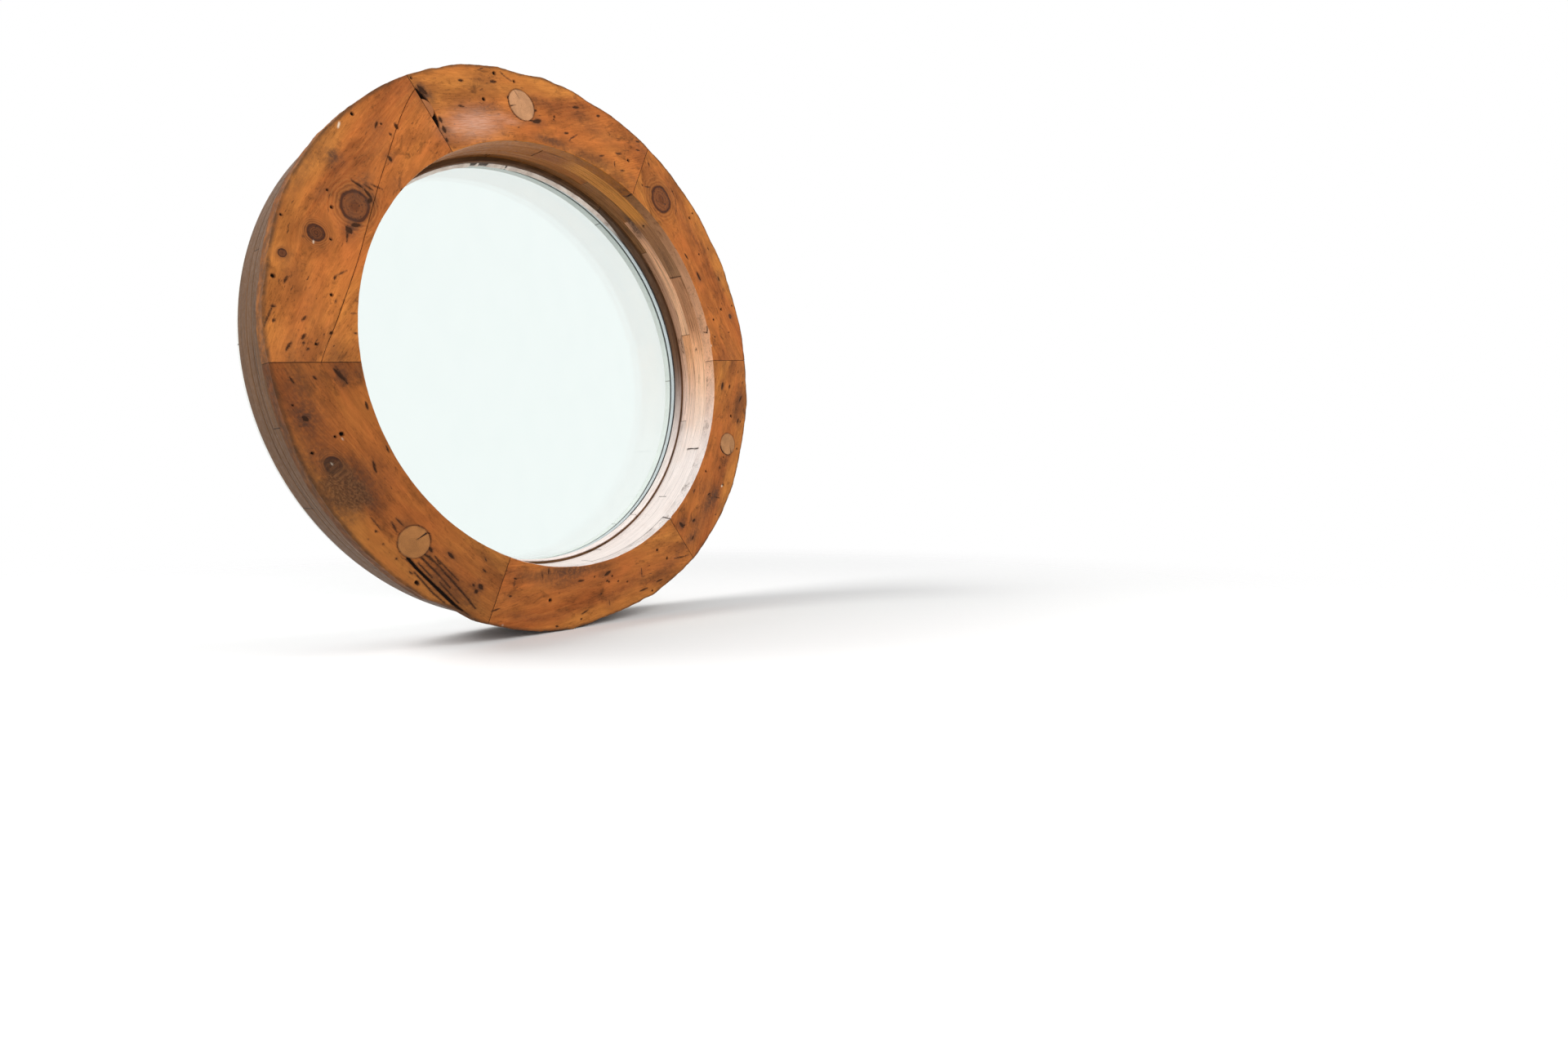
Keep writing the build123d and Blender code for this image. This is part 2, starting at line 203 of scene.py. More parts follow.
# Soft stains: x, z, half length round the ring, half width, strength
STAINS = (
    (-600, -135, 60, 30, 0.42), (-575, -205, 50, 40, 0.40), (-585, -330, 70, 26, 0.50),
    (-540, -400, 70, 30, 0.38), (-480, -300, 60, 24, 0.35), (-430, -520, 70, 30, 0.35),
    (-330, -500, 80, 44, 0.30), (-540, -60, 50, 22, 0.28), (0, -508, 90, 16, 0.45),
    (-60, -530, 60, 20, 0.35), (170, -560, 60, 20, 0.25), (300, -520, 60, 26, 0.28),
    (440, -400, 50, 26, 0.35), (560, -200, 60, 22, 0.30), (590, -60, 60, 22, 0.25),
    (580, 100, 50, 20, 0.28), (400, 430, 70, 22, 0.25), (60, 580, 90, 20, 0.30),
    (-120, 580, 60, 18, 0.32), (-250, 560, 50, 20, 0.28), (-400, 470, 60, 24, 0.28),
    (-470, 330, 60, 20, 0.25), (-560, 300, 70, 20, 0.28), (-580, 10, 60, 18, 0.22),
    (280, 485, 62, 55, 0.22), (310, 520, 30, 26, 0.30), (430, 308, 16, 12, 0.55),
    (516, 326, 18, 12, 0.40), (470, 398, 26, 18, 0.28), (468, 165, 14, 12, 0.30), (516, 345, 14, 10, 0.2),
    (570, 225, 16, 14, 0.35), (200, 598, 34, 12, 0.35), (20, 605, 46, 18, 0.22), (10, 505, 80, 22, 0.36),
    (70, 512, 46, 16, 0.30), (150, 480, 40, 16, 0.28), (-112, 535, 24, 12, 0.60),
    (-60, 500, 34, 14, 0.30), (-540, 292, 14, 11, 0.85), (-535, 282, 22, 18, 0.35),
    (-464, 376, 26, 18, 0.35), (-440, 325, 14, 11, 0.5), (-425, 280, 22, 12, 0.35),
    (-508, 212, 60, 48, 0.28), (-490, 254, 40, 12, 0.60), (-474, 236, 20, 10, 0.6),
    (-508, 170, 24, 14, 0.70), (-571, 141, 26, 22, 0.30), (-610, 70, 30, 16, 0.25),
    (-600, -60, 30, 26, 0.22), (-560, 215, 14, 10, 0.30), (-592, 235, 60, 10, 0.35),
    (-525, -108, 22, 13, 0.75), (-495, -100, 18, 14, 0.60), (-585, -192, 17, 15, 0.80),
    (-590, -180, 34, 26, 0.30), (-572, -262, 40, 30, 0.45), (-540, -274, 30, 26, 0.40),
    (-505, -305, 40, 34, 0.62), (-480, -330, 40, 14, 0.55), (-545, -335, 22, 16, 0.55),
    (-520, -360, 30, 22, 0.50), (-590, -130, 30, 16, 0.30), (-560, -115, 20, 14, 0.25),
    (-450, -275, 40, 16, 0.25), (-410, -390, 22, 16, 0.40), (-365, -440, 14, 12, 0.55),
    (-255, -525, 16, 22, 0.65), (-316, -453, 16, 12, 0.35), (-230, -470, 40, 20, 0.22),
    (-270, -560, 40, 16, 0.35), (-340, -505, 60, 14, 0.35), (-220, -550, 22, 16, 0.20),
    (-20, -520, 44, 26, 0.42), (-35, -505, 46, 14, 0.35), (90, -525, 24, 14, 0.45),
    (100, -490, 60, 12, 0.30), (20, -500, 40, 12, 0.30), (250, -430, 40, 10, 0.35),
    (-150, -600, 60, 10, 0.30), (-60, -610, 60, 10, 0.22), (-180, -555, 30, 10, 0.22),
    (100, -598, 14, 22, 0.30), (210, -535, 10, 22, 0.28), (340, -495, 30, 10, 0.25),
    (500, 60, 26, 26, 0.25), (540, 90, 40, 20, 0.28), (625, 70, 30, 18, 0.35), (533, 8, 16, 10, 0.45),
    (616, -20, 30, 12, 0.45), (608, -92, 22, 12, 0.40), (500, 10, 40, 10, 0.30),
    (470, -345, 42, 26, 0.75), (500, -322, 34, 18, 0.65), (520, -360, 30, 18, 0.35),
    (360, -405, 16, 14, 0.80), (408, -396, 14, 12, 0.55), (400, -446, 20, 14, 0.60),
    (412, -430, 20, 12, 0.40), (450, -300, 26, 14, 0.30), (378, -455, 40, 12, 0.30),
    (480, -285, 12, 10, 0.30), (430, -290, 30, 10, 0.2), (-378, 487, 12, 10, 0.95),
    (-366, 478, 14, 9, 0.85), (-330, 425, 16, 9, 0.80), (-325, 407, 8, 7, 0.60), (-338, 441, 10, 7, 0.70),
    (-362, 462, 24, 14, 0.35), (-620, 91, 14, 12, 0.40), (-98, 502, 32, 9, 0.60), (-61, 506, 28, 9, 0.50),
    (178, 507, 18, 9, 0.45), (-123, -512, 60, 16, 0.42), (-71, -506, 40, 12, 0.38),
    (-17, -504, 40, 12, 0.38), (497, -328, 24, 14, 0.45),
)

# Pale scratches and chips, and specks by holes and on a knot that are painted glints: from x, z to x, z, and
# width
SCRATCHES_AND_GLINTS = (
    (-531, 347, -529, 356, 2.5), (-572, 124, -571, 126, 1.8), (-542, -270, -541, -272, 2.2),
    (-524, -223, -523, -225, 1.4), (481, 119, 483, 121, 5), (529, -295, 533, -292, 4),
    (-200, -619, -198, -612, 2),
)

# Rubbed places, worn and lighter by a painted sheen: as the stains
RUBBED_AND_SHEEN = (
    (-262, 466, 62, 26, 0.95), (-300, 440, 26, 14, 0.60), (-215, 500, 40, 12, 0.50), (-180, 505, 30, 8, 0.45),
)

# Knot hole at the end of the second board: angle, radius, how far beside that angle its middle is,
# half length across the ring, half width, depth
KNOT_HOLE_NUMBER = 2
KNOT_HOLE = (SPLIT_START, 583.0, 0.5, 39.0, 13.0, 11.0)

# Bark-coloured patch of the fourth board: x, z, half length, half width, direction of its short side
BARK_PATCH = (-518, -318, 58, 36, 41.35)

# Chips along the front of the bore: angle, half width at the edge and at full depth, depth,
# and the places along Y in metres where they begin and reach full depth
BORE_CHIPS = ((18.6, 2.6, 0.6, 5.0, -0.012, -0.026), (309.0, 1.2, 0.2, 3.0, -0.006, -0.030))

# Looks of the pegs: how much wider the gap round the peg, a dark ring of painted shade, is on one side and
# towards which bearing, place of the pith from the centre, and tint
PEG_LOOKS = (
    (1.0, -140, (6.0, -3.0), (0.50, 0.250, 0.120)),
    (0.4, 60, (-4.0, -5.0), (0.31, 0.128, 0.038)),
    (1.4, -125, (3.0, 5.0), (0.39, 0.185, 0.075)),
)

# Checks of the peg ends: peg, x, z to x, z from its centre, and width
PEG_CHECKS = (
    (1, -29, -14, -15, -6, 1.8), (1, -18, 24, -6, 12, 0.8), (2, 30, 20, 8, 6, 3.6), (2, 8, 6, 4, 4, 1.0),
    (3, 14, -26, 10, -6, 1.6), (3, 24, -26, 12, -28, 2.6), (3, 14, -27, 22, -16, 1.2),
    (3, 30, -14, 24, -26, 1.6),
)

# Bore of each board: colour at its first and last joint, and how far its bore stands back. The colours run
# paler round the right of the bore and darker over the top, as painted daylight and painted shade over the
# boards' own tones.
BORE_TONES_AND_LIGHT = {
    "face_segment": (
        ((0.87, 0.460, 0.265), (0.225, 0.088, 0.024), 0.0),
        ((0.225, 0.074, 0.012), (0.46, 0.160, 0.026), 0.0),
        ((0.40, 0.165, 0.060), (0.42, 0.190, 0.080), 0.0), ((0.42, 0.190, 0.080), (0.50, 0.300, 0.200), 0.0),
        ((0.52, 0.330, 0.240), (0.54, 0.340, 0.240), 0.0), ((0.76, 0.480, 0.325), (0.87, 0.450, 0.255), 0.0),
    ),
    "second_layer_segment": (
        ((0.33, 0.165, 0.080), (0.30, 0.100, 0.024), 0.2), ((0.34, 0.115, 0.022), (0.42, 0.155, 0.036), 0.7),
        ((0.36, 0.165, 0.070), (0.38, 0.190, 0.090), 0.3), ((0.38, 0.190, 0.090), (0.50, 0.340, 0.250), 0.5),
        ((0.52, 0.330, 0.240), (0.56, 0.360, 0.260), 0.2), ((0.96, 0.590, 0.345), (0.78, 0.328, 0.152), 0.8),
    ),
    "third_layer_segment": (
        ((0.79, 0.450, 0.265), (0.46, 0.220, 0.110), 0.9), ((0.28, 0.095, 0.020), (0.37, 0.140, 0.034), 0.4),
        ((0.34, 0.155, 0.065), (0.36, 0.170, 0.075), 1.0), ((0.36, 0.170, 0.080), (0.46, 0.280, 0.180), 0.5),
        ((0.55, 0.380, 0.280), (0.58, 0.400, 0.290), 1.0), ((0.82, 0.535, 0.358), (0.71, 0.335, 0.155), 0.3),
    ),
    "fourth_layer_segment": (
        ((0.23, 0.110, 0.045), (0.17, 0.058, 0.010), 0.4), ((0.18, 0.062, 0.012), (0.31, 0.140, 0.060), 1.0),
        ((0.33, 0.150, 0.065), (0.35, 0.165, 0.075), 0.5), ((0.35, 0.170, 0.080), (0.48, 0.310, 0.220), 1.1),
        ((0.55, 0.370, 0.290), (0.62, 0.400, 0.290), 0.5), ((0.75, 0.435, 0.290), (0.34, 0.176, 0.097), 0.9),
    ),
    "back_layer_segment": (((0.50, 0.330, 0.180), (0.47, 0.300, 0.160), 0.3),) * 6,
    "inner_stop": (
        ((0.100, 0.055, 0.030), (0.160, 0.070, 0.032), 0.2),
        ((0.170, 0.075, 0.035), (0.200, 0.085, 0.038), 0.1),
        ((0.190, 0.080, 0.036), (0.090, 0.055, 0.035), 0.5),
    ),
    "outer_casing": (((0.6, 0.6, 0.6), (0.6, 0.6, 0.6), 0.0),) * 6,
}
HIDDEN_TINT = (0.120, 0.060, 0.027)

# Boards whose bore changes tint: angles where the other tint starts and is full, where it has ended
# and is still full, and that tint
TINT_CHANGES = {
    "second_layer_segment_1": ((56, 62), (92, 84), (0.52, 0.205, 0.042)),
    "third_layer_segment_1": ((60.6, 61.0), (200, 190), (0.260, 0.110, 0.038)),
    "second_layer_segment_6": ((14, 24), (200, 190), (0.48, 0.224, 0.110)),
}

# Stains of the bore: angle, place along Y, half sweep in degrees, half width, strength
BORE_STAINS = (
    (57.4, 54, 2.6, 12, 0.95), (60.6, 52, 2.6, 11, 0.95), (55.6, 64, 2.2, 10, 0.70),
    (57, 88, 2.2, 8, 0.5), (47, 22, 5.0, 12, 0.35), (42, 30, 3.0, 16, 0.25), (15, 80, 3.5, 6, 0.45),
    (-13, 88, 2.2, 4, 0.45), (20, -8, 3.0, 8, 0.35), (36, 12, 2.0, 10, 0.25), (72, 10, 4.0, 6, 0.20),
    (30, 24, 4.0, 20, 0.20), (92, 88, 3.0, 8, 0.3), (64, 60, 2.0, 8, 0.3),
)

# Dark strokes of the bore: from angle, Y to angle, Y, and width
BORE_STROKES = (
    (19.0, 76, 17.4, 86, 2.2), (17.4, 86, 15.8, 83, 2.0), (15.8, 83, 14.2, 88, 2.2),
    (14.2, 88, 13.0, 82, 2.0), (18.2, 92, 16.6, 95, 2.0), (13.8, 28, 13.4, 31, 4.0),
    (58.0, 20, 57.6, 24, 5.0), (38.4, 2, 38.7, 43, 1.2), (-21.6, 1, -21.8, 12, 3.6),
    (-21.8, 12, -21.6, 30, 2.2), (-21.6, 30, -21.8, 44, 3.6), (20.5, -30, 18.5, -22, 3.0),
    (18.5, -22, 18.9, -14, 2.0), (-51.0, -31, -50.7, -2, 2.4), (-51.0, -1, -82.0, -0.5, 1.4),
    (69.5, -31, 69.2, -14, 3.0), (69.2, -14, 69.8, 0, 2.0), (110.0, 78, 109.8, 90, 3.0),
    (73.0, -10, 71.0, -8, 1.5), (29.5, 6, 28.0, 4, 1.2), (5.0, 30, 2.0, 31, 1.0),
    (24.0, 26, 20.0, 24, 1.0), (80.5, 56, 79.0, 56, 2.0),
)

# Colours, as linear shares of red, green and blue
COLOURS = {
    "face gold": (0.515, 0.190, 0.040), "face red": (0.435, 0.124, 0.029), "face deep": (0.195, 0.060, 0.016),
    # the pale bleached colour of the lower right bore is sun bleaching with painted daylight
    "bleached_and_lit": (0.910, 0.805, 0.770), "warm filter": (0.78, 0.50, 0.34), "smoke": (0.085, 0.030, 0.009),
    "resin": (0.060, 0.022, 0.009), "knot heart": (0.275, 0.088, 0.026), "knot rings": (0.140, 0.040, 0.013),
    "knot pith": (0.170, 0.048, 0.013), "knot burn": (0.052, 0.015, 0.005), "knot rim": (0.052, 0.015, 0.007),
    "knot swirl": (0.600, 0.255, 0.068), "knot halo": (0.110, 0.036, 0.010),
    # the rubbed wood colour is worn varnish lightened by a painted sheen
    "knot crack": (0.030, 0.012, 0.008), "stain": (0.060, 0.034, 0.024), "rubbed wood sheen": (0.62, 0.40, 0.31),
    # the hole colour is near-black for the insides of holes, open checks and gaps: dirt with painted shade
    "soot": (0.070, 0.030, 0.016), "hole": (0.014, 0.008, 0.006), "torn fibre": (0.090, 0.036, 0.018),
    # the chip colour is the pale of chips and scratches, and of specks that are painted glints
    "dent": (0.032, 0.013, 0.006), "chip": (0.78, 0.66, 0.52), "joint": (0.022, 0.011, 0.008),
    # the hewn edge colour is the dark rim: dirt with painted shade
    "hewn edge and shade": (0.090, 0.044, 0.022), "bark dark": (0.074, 0.033, 0.016),
    "bark light": (0.225, 0.098, 0.040), "filler": (0.360, 0.130, 0.045),
    "filler light": (0.42, 0.165, 0.060), "peg soot": (0.080, 0.035, 0.020),
    "peg edge": (0.070, 0.032, 0.018), "putty": (0.84, 0.755, 0.680), "putty grey": (0.70, 0.590, 0.510),
    "putty speck": (0.20, 0.13, 0.10), "putty crack": (0.070, 0.045, 0.035), "putty chip": (0.30, 0.20, 0.16),
    "putty gap": (0.028, 0.020, 0.016), "putty skin": (0.035, 0.028, 0.026), "bar": (0.82, 0.84, 0.86),
    "bar line": (0.36, 0.39, 0.42), "bar dust": (0.62, 0.62, 0.60), "paint": (0.74, 0.745, 0.72),
    "paint grey": (0.60, 0.610, 0.585), "paint speck": (0.42, 0.39, 0.34), "paint joint": (0.12, 0.11, 0.10),
    "glass": (0.972, 0.990, 0.984), "glass haze": (0.968, 0.987, 0.981), "glass shine": (0.95, 0.98, 0.98),
    "floor": (0.86, 0.86, 0.86), "soft light": (0.97, 0.985, 1.0), "white": (1.0, 1.0, 1.0),
}

# Floor: half its width, and where it fades. Strength of the soft light.
FLOOR_REACH = 7.0
FLOOR_FADE = (0.9, 3.2)
SOFT_LIGHT = 0.47


# Noise, angles and curves
LATTICE_SIZE = 256
LATTICE = np.random.default_rng(11).random((LATTICE_SIZE, LATTICE_SIZE))


def smooth(low, high, x):
    """0 at low, 1 at high, eased."""
    t = np.clip((x - low) / (high - low), 0.0, 1.0)
    return t * t * (3.0 - 2.0 * t)


def blend(first, last, share):
    """From first, at share 0, to last, at share 1."""
    return np.array(first) * (1 - share) + np.array(last) * share


def noise2(a, b, seed):
    """Soft noise from 0 to 1 over two coordinates. Each use has a seed of its own."""
    a = np.asarray(a, float) + 37.13 * seed
    b = np.asarray(b, float) + 11.71 * seed
    ia, ib = np.floor(a).astype(int), np.floor(b).astype(int)
    fa, fb = a - ia, b - ib
    fa, fb = fa * fa * (3 - 2 * fa), fb * fb * (3 - 2 * fb)

    def at(i, j):
        return LATTICE[i % LATTICE_SIZE, j % LATTICE_SIZE]

    low = at(ia, ib) * (1 - fa) + at(ia + 1, ib) * fa
    high = at(ia, ib + 1) * (1 - fa) + at(ia + 1, ib + 1) * fa
    return low * (1 - fb) + high * fb


def noise1(a, seed):
    """Soft noise from 0 to 1 along one coordinate."""
    return noise2(a, 0.0, seed)


def turn(angle, centre):
    """Signed difference of two angles in degrees."""
    return (np.asarray(angle, float) - centre + 180.0) % 360.0 - 180.0


def rotated(a, b, angle):
    """Two coordinates after their axes have turned by an angle in degrees."""
    cosine, sine = math.cos(math.radians(angle)), math.sin(math.radians(angle))
    return a * cosine + b * sine, b * cosine - a * sine


def on_circle(angle, radius):
    """x and z of the point at an angle in degrees and a radius."""
    return radius * math.cos(math.radians(angle)), radius * math.sin(math.radians(angle))


def capsule(px, pz, x0, z0, x1, z1):
    """Distance to a short line, and where along it."""
    dx, dz = x1 - x0, z1 - z0
    t = np.clip(((px - x0) * dx + (pz - z0) * dz) / (dx * dx + dz * dz + 1e-9), 0.0, 1.0)
    return np.hypot(px - x0 - t * dx, pz - z0 - t * dz), t


def soft_spot(x, z, spot_x, spot_z, long, wide, facing=None):
    """Soft oval spot, 1 in its middle, with its short side towards the ring's axis or as facing says."""
    if facing is None:
        facing = math.degrees(math.atan2(spot_z, spot_x))
    across, along = rotated(x - spot_x, z - spot_z, facing)
    return np.exp(-((along / long) ** 2 + (across / wide) ** 2))


def rim_radius(angle):
    """Radius of the hewn rim, as the solids have it."""
    radius = np.full(np.shape(angle), RIM)
    for centre, half, depth in RIM_BITES:
        away = np.abs(turn(angle, centre))
        radius = radius - np.where(away < half, depth * MM * (1 - (away / half) ** 2), 0.0)
    return radius


def curve_through(xs, ys, x):
    """Smooth curve through a few points, by cubic pieces with averaged slopes."""
    xs, ys = np.array(xs, float), np.array(ys, float)
    steps = np.diff(ys) / np.diff(xs)
    slope = np.concatenate([[steps[0]], (steps[1:] + steps[:-1]) / 2, [steps[-1]]])
    i = np.clip(np.searchsorted(xs, x, side="right") - 1, 0, len(xs) - 2)
    h = xs[i + 1] - xs[i]
    t = (x - xs[i]) / h
    return (
        ys[i] * (2 * t**3 - 3 * t**2 + 1) + slope[i] * h * (t**3 - 2 * t**2 + t)
        + ys[i + 1] * (3 * t**2 - 2 * t**3) + slope[i + 1] * h * (t**3 - t**2)
    )


def seam_radius(angle):
    """Radius of the seam between the two boards of the split segment."""
    past = np.asarray(angle, float) - SPLIT_START
    share = curve_through([p for p, _ in SEAM], [s for _, s in SEAM], past)
    return BORE + share * (RIM - BORE)


# Meshes: the sides of a board are numbered in the order in which a section goes round it
BORE_SIDE, ARRIS, FRONT, OUTSIDE, BACK = range(5)


class Section:
    """Rows of points round a piece at each angle: a radius, a place along Y and the side they are on."""

    def __init__(self, angle):
        self.angle = angle
        self.rows = []

    def add(self, radius, y, side=OUTSIDE):
        shape = self.angle.shape
        self.rows.append((np.broadcast_to(radius, shape), np.broadcast_to(y, shape), side))

    def corner(self, radius, y, across, along, quarters, side):
        """Rounded corner inward from a radius and a y, from quarter 0 on the side to 1 on the flat."""
        for quarter in quarters:
            a = quarter * math.pi / 2
            self.add(radius + across * (1 - math.cos(a)), y + along * (1 - math.sin(a)), side)

    def arrays(self):
        radius, y, side = zip(*self.rows)
        return np.stack(radius, 1), np.stack(y, 1), np.array(side)[None, :]


def six_volumes(verts, quads, caps):
    """Six times the volume inside the faces, negative where they look inward."""
    a, b, c, d = (verts[quads[:, k]] for k in range(4))
    total = np.einsum("ij,ij->i", a, np.cross(b, c)).sum() + np.einsum("ij,ij->i", a, np.cross(c, d)).sum()
    for cap in caps:
        total += np.einsum("j,ij->i", verts[cap[0]], np.cross(verts[cap[1:-1]], verts[cap[2:]])).sum()
    return total


def swept(name, loops, extra, closed=False, crease=38.0):
    """Mesh swept round the axis: loops is columns x points x 3, each column a closed loop."""
    columns, points = loops.shape[:2]
    verts = loops.reshape(-1, 3)
    j, i = np.meshgrid(np.arange(columns if closed else columns - 1), np.arange(points), indexing="ij")
    nj, ni = (j + 1) % columns, (i + 1) % points
    quads = np.stack([j * points + i, nj * points + i, nj * points + ni, j * points + ni], -1).reshape(-1, 4)
    caps = [] if closed else [np.arange(points)[::-1], (columns - 1) * points + np.arange(points)]
    if six_volumes(verts, quads, caps) < 0:
        quads = quads[:, ::-1]
        caps = [cap[::-1] for cap in caps]
    totals = np.array([4] * len(quads) + [len(cap) for cap in caps], np.int32)
    starts = np.concatenate([[0], np.cumsum(totals)[:-1]]).astype(np.int32)
    corners = np.concatenate([quads.ravel()] + caps).astype(np.int32)
    mesh = bpy.data.meshes.new(name)
    mesh.vertices.add(len(verts))
    mesh.vertices.foreach_set("co", verts.astype(np.float32).ravel())
    mesh.loops.add(len(corners))
    mesh.loops.foreach_set("vertex_index", corners)
    mesh.polygons.add(len(totals))
    mesh.polygons.foreach_set("loop_start", starts)
    mesh.polygons.foreach_set("loop_total", totals)
    mesh.update(calc_edges=True)
    mesh.validate()
    mesh.polygons.foreach_set("use_smooth", np.ones(len(mesh.polygons), bool))
    mesh.set_sharp_from_angle(angle=math.radians(crease))
    for key, values in extra.items():
        vector = np.ndim(values) == 3
        values = np.broadcast_to(values, (columns, points, 3) if vector else (columns, points))
        layer = mesh.attributes.new(key, "FLOAT_VECTOR" if vector else "FLOAT", "POINT")
        layer.data.foreach_set("vector" if vector else "value", values.astype(np.float32).ravel())
    piece = bpy.data.objects.new(name, mesh)
    bpy.context.collection.objects.link(piece)
    return piece


def dress(piece, material, node):
    """Give a finished piece its material and its place in the frame, and hide the solid it stands for."""
    piece.data.materials.clear()
    piece.data.materials.append(material)
    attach(piece, "root")
    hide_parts(node)


def place(angle, radius, y):
    """Points in the frame from an angle in degrees, a radius and a place along Y."""
    a = np.radians(angle)
    return np.stack([radius * np.cos(a), y + 0 * radius, radius * np.sin(a)], -1)


def columns_between(start, end, step, radius, gap=0.2):
    """Angles from joint to joint, closer together beside the joints. The gap is in millimetres."""
    trim = math.degrees(gap * MM / radius)
    count = max(6, round(math.radians(end - start) * radius / step))
    inner = np.linspace(start + trim, end - trim, count + 1)
    near = np.degrees(np.array([0.4, 1.0]) * MM / radius)
    return np.sort(np.concatenate([inner, start + trim + near, end - trim - near]))


def from_joint(angle, r):
    """Distance in millimetres to the nearer joint of a board."""
    return np.minimum(angle - angle[0], angle[-1] - angle)[:, None] * DEGREE * r / MM


def grain(points, middle, tilt, bow, pith_across, pith_below, slope, front):
    """Flow of the grain in a straight board cut to an arc, bent round its knots.

    Also gives the distance from the pith, how near a knot is (3 in its middle, 2 at its edge) and how
    burnt that knot is."""

    def on_board(x, z):
        across, along = rotated(x, z, middle)
        return along, across - FACE_MIDDLE

    u, v = rotated(*on_board(points[..., 0], points[..., 2]), tilt)
    y = points[..., 1]
    flow = v + bow * u * u
    near, burn = np.zeros_like(u), np.zeros_like(u)
    for knot_x, knot_z, long, wide, heart in KNOTS:
        along, across = on_board(knot_x * MM, knot_z * MM)
        if abs(along) > BOARD_REACH[0] or abs(across) > BOARD_REACH[1]:
            continue
        knot_u, knot_v = rotated(along, across, tilt)
        du, dv = u - knot_u, v - knot_v
        size = wide * MM
        reach = (du * 0.62) ** 2 + dv**2
        bend = np.minimum(size**2 * 1.25 / (reach + 0.15 * size**2), 0.92)
        flow = flow - dv * bend * np.exp(-reach / 0.012)
        ratio = np.hypot(du / (long * MM), dv / (wide * MM))
        near = np.maximum(near, np.clip(3.0 - ratio, 0.0, 3.0))
        burn = np.where(ratio < 1.6, heart, burn)
    ring = np.hypot(flow - pith_across - slope * u, pith_below + (y - front))
    return np.stack([u, flow, y], -1), ring, near, burn


def face_marks(x, z):
    """Marks of the face at points in millimetres.

    mark and dent are about 3 at the edge of a mark and more inside it, deep is its depth in
    millimetres, and the others go from 0 to 1."""
    fields = {key: np.zeros_like(x) for key in ("mark", "dent", "deep", "stain", "pale_and_glint", "rub_and_sheen")}

    def raise_to(key, values):
        fields[key] = np.maximum(fields[key], values)

    for hole_x, hole_z, size in HOLES:
        away = np.hypot(x - hole_x, z - hole_z) - size * 0.40
        raise_to("mark", np.clip(3.0 - away, 0.0, 7.0))
        raise_to("deep", min(6.0, 0.9 * size) * smooth(0.9, -1.4, away))
    for *ends, width in STROKES:
        away, t = capsule(x, z, *ends)
        away = away - width * 0.42 * (1 - 0.7 * (2 * t - 1) ** 2)
        raise_to("dent", np.clip(3.0 - away, 0.0, 6.0))
        raise_to("deep", min(2.0, 0.3 * width + 0.4) * smooth(0.9, -1.6, away))
    for *ends, width in CHECKS:
        away = capsule(x, z, *ends)[0] - width / 2
        key, edge, depth = ("mark", 3.6, 4.5) if width > OPEN_CHECK else ("dent", 4.0, 1.6)
        raise_to(key, np.clip(edge - away, 0.0, 6.0))
        raise_to("deep", depth * smooth(1.2, -1.4, away))
    # the gap round each peg: a shallow groove painted near-black as the shade of the gap
    for number, (angle, radius) in enumerate(PEGS):
        peg_x, peg_z = on_circle(angle, radius / MM)
        extra, towards = PEG_LOOKS[number][:2]
        away = np.hypot(x - peg_x, z - peg_z)
        bearing = np.degrees(np.arctan2(z - peg_z, x - peg_x))
        gap = 0.7 + 1.3 * smooth(0.45, 0.85, noise2(bearing / 40.0, number, 5))
        gap = gap + extra * smooth(70, 20, np.abs(turn(bearing, towards)))
        edge = np.abs(away - PEG_RADIUS / MM - gap / 2) - gap / 2
        raise_to("mark", np.clip(3.0 - edge, 0.0, 5.0))
        raise_to("deep", 1.8 * smooth(1.0, -0.6, edge) * (away > PEG_RADIUS / MM - 0.5))
        # the board itself is sunk under the end of the peg
        raise_to("deep", 5.0 * smooth(31.5, 29.0, away))
    for *spot, strength in STAINS:
        fields["stain"] = 1 - (1 - fields["stain"]) * (1 - strength * soft_spot(x, z, *spot))
    for *ends, width in SCRATCHES_AND_GLINTS:
        raise_to("pale_and_glint", smooth(width / 2 + 1.4, width / 2 - 1.0, capsule(x, z, *ends)[0]))
    for *spot, strength in RUBBED_AND_SHEEN:
        raise_to("rub_and_sheen", strength * soft_spot(x, z, *spot))
    fields["bark"] = soft_spot(x, z, *BARK_PATCH)
    return fields


def add_knot_hole(fields, x, z):
    """Sink the knot hole into the marks of its board, which paint its inside near-black as dirt with painted
    shade.
    """
    angle, radius, beside, long, wide, depth = KNOT_HOLE
    radial, aside = rotated(x, z, angle)
    hole = np.hypot((radial - radius) / long, (aside - beside) / wide)
    fields["deep"] = np.maximum(fields["deep"], depth * smooth(1.06, 0.80, hole))
    fields["mark"] = np.maximum(fields["mark"], 5.0 * smooth(1.12, 0.9, hole))


def bleach_and_daylight_at(angle):
    """How pale the bore is made on its lower right, which faces the light: partly sun bleaching, partly
    painted daylight.
    """
    a = turn(angle, 0.0)
    return smooth(16, -34, a) * smooth(-128, -92, a)


def bore_marks(angle, y):
    """Marks and stains of the bore at angles in degrees and places along Y in millimetres."""
    mark, stain = np.zeros_like(y), np.zeros_like(y)
    per_degree = DEGREE * BORE / MM
    for a0, y0, a1, y1, width in BORE_STROKES:
        away, _ = capsule(turn(angle, a0) * per_degree, y, 0.0, y0, (a1 - a0) * per_degree, y1)
        mark = np.maximum(mark, np.clip(3.0 - (away - width / 2), 0.0, 5.0))
    for a0, y0, half, wide, strength in BORE_STAINS:
        amount = strength * np.exp(-((turn(angle, a0) / half) ** 2 + ((y - y0) / wide) ** 2))
        stain = 1 - (1 - stain) * (1 - amount)
    return mark, stain


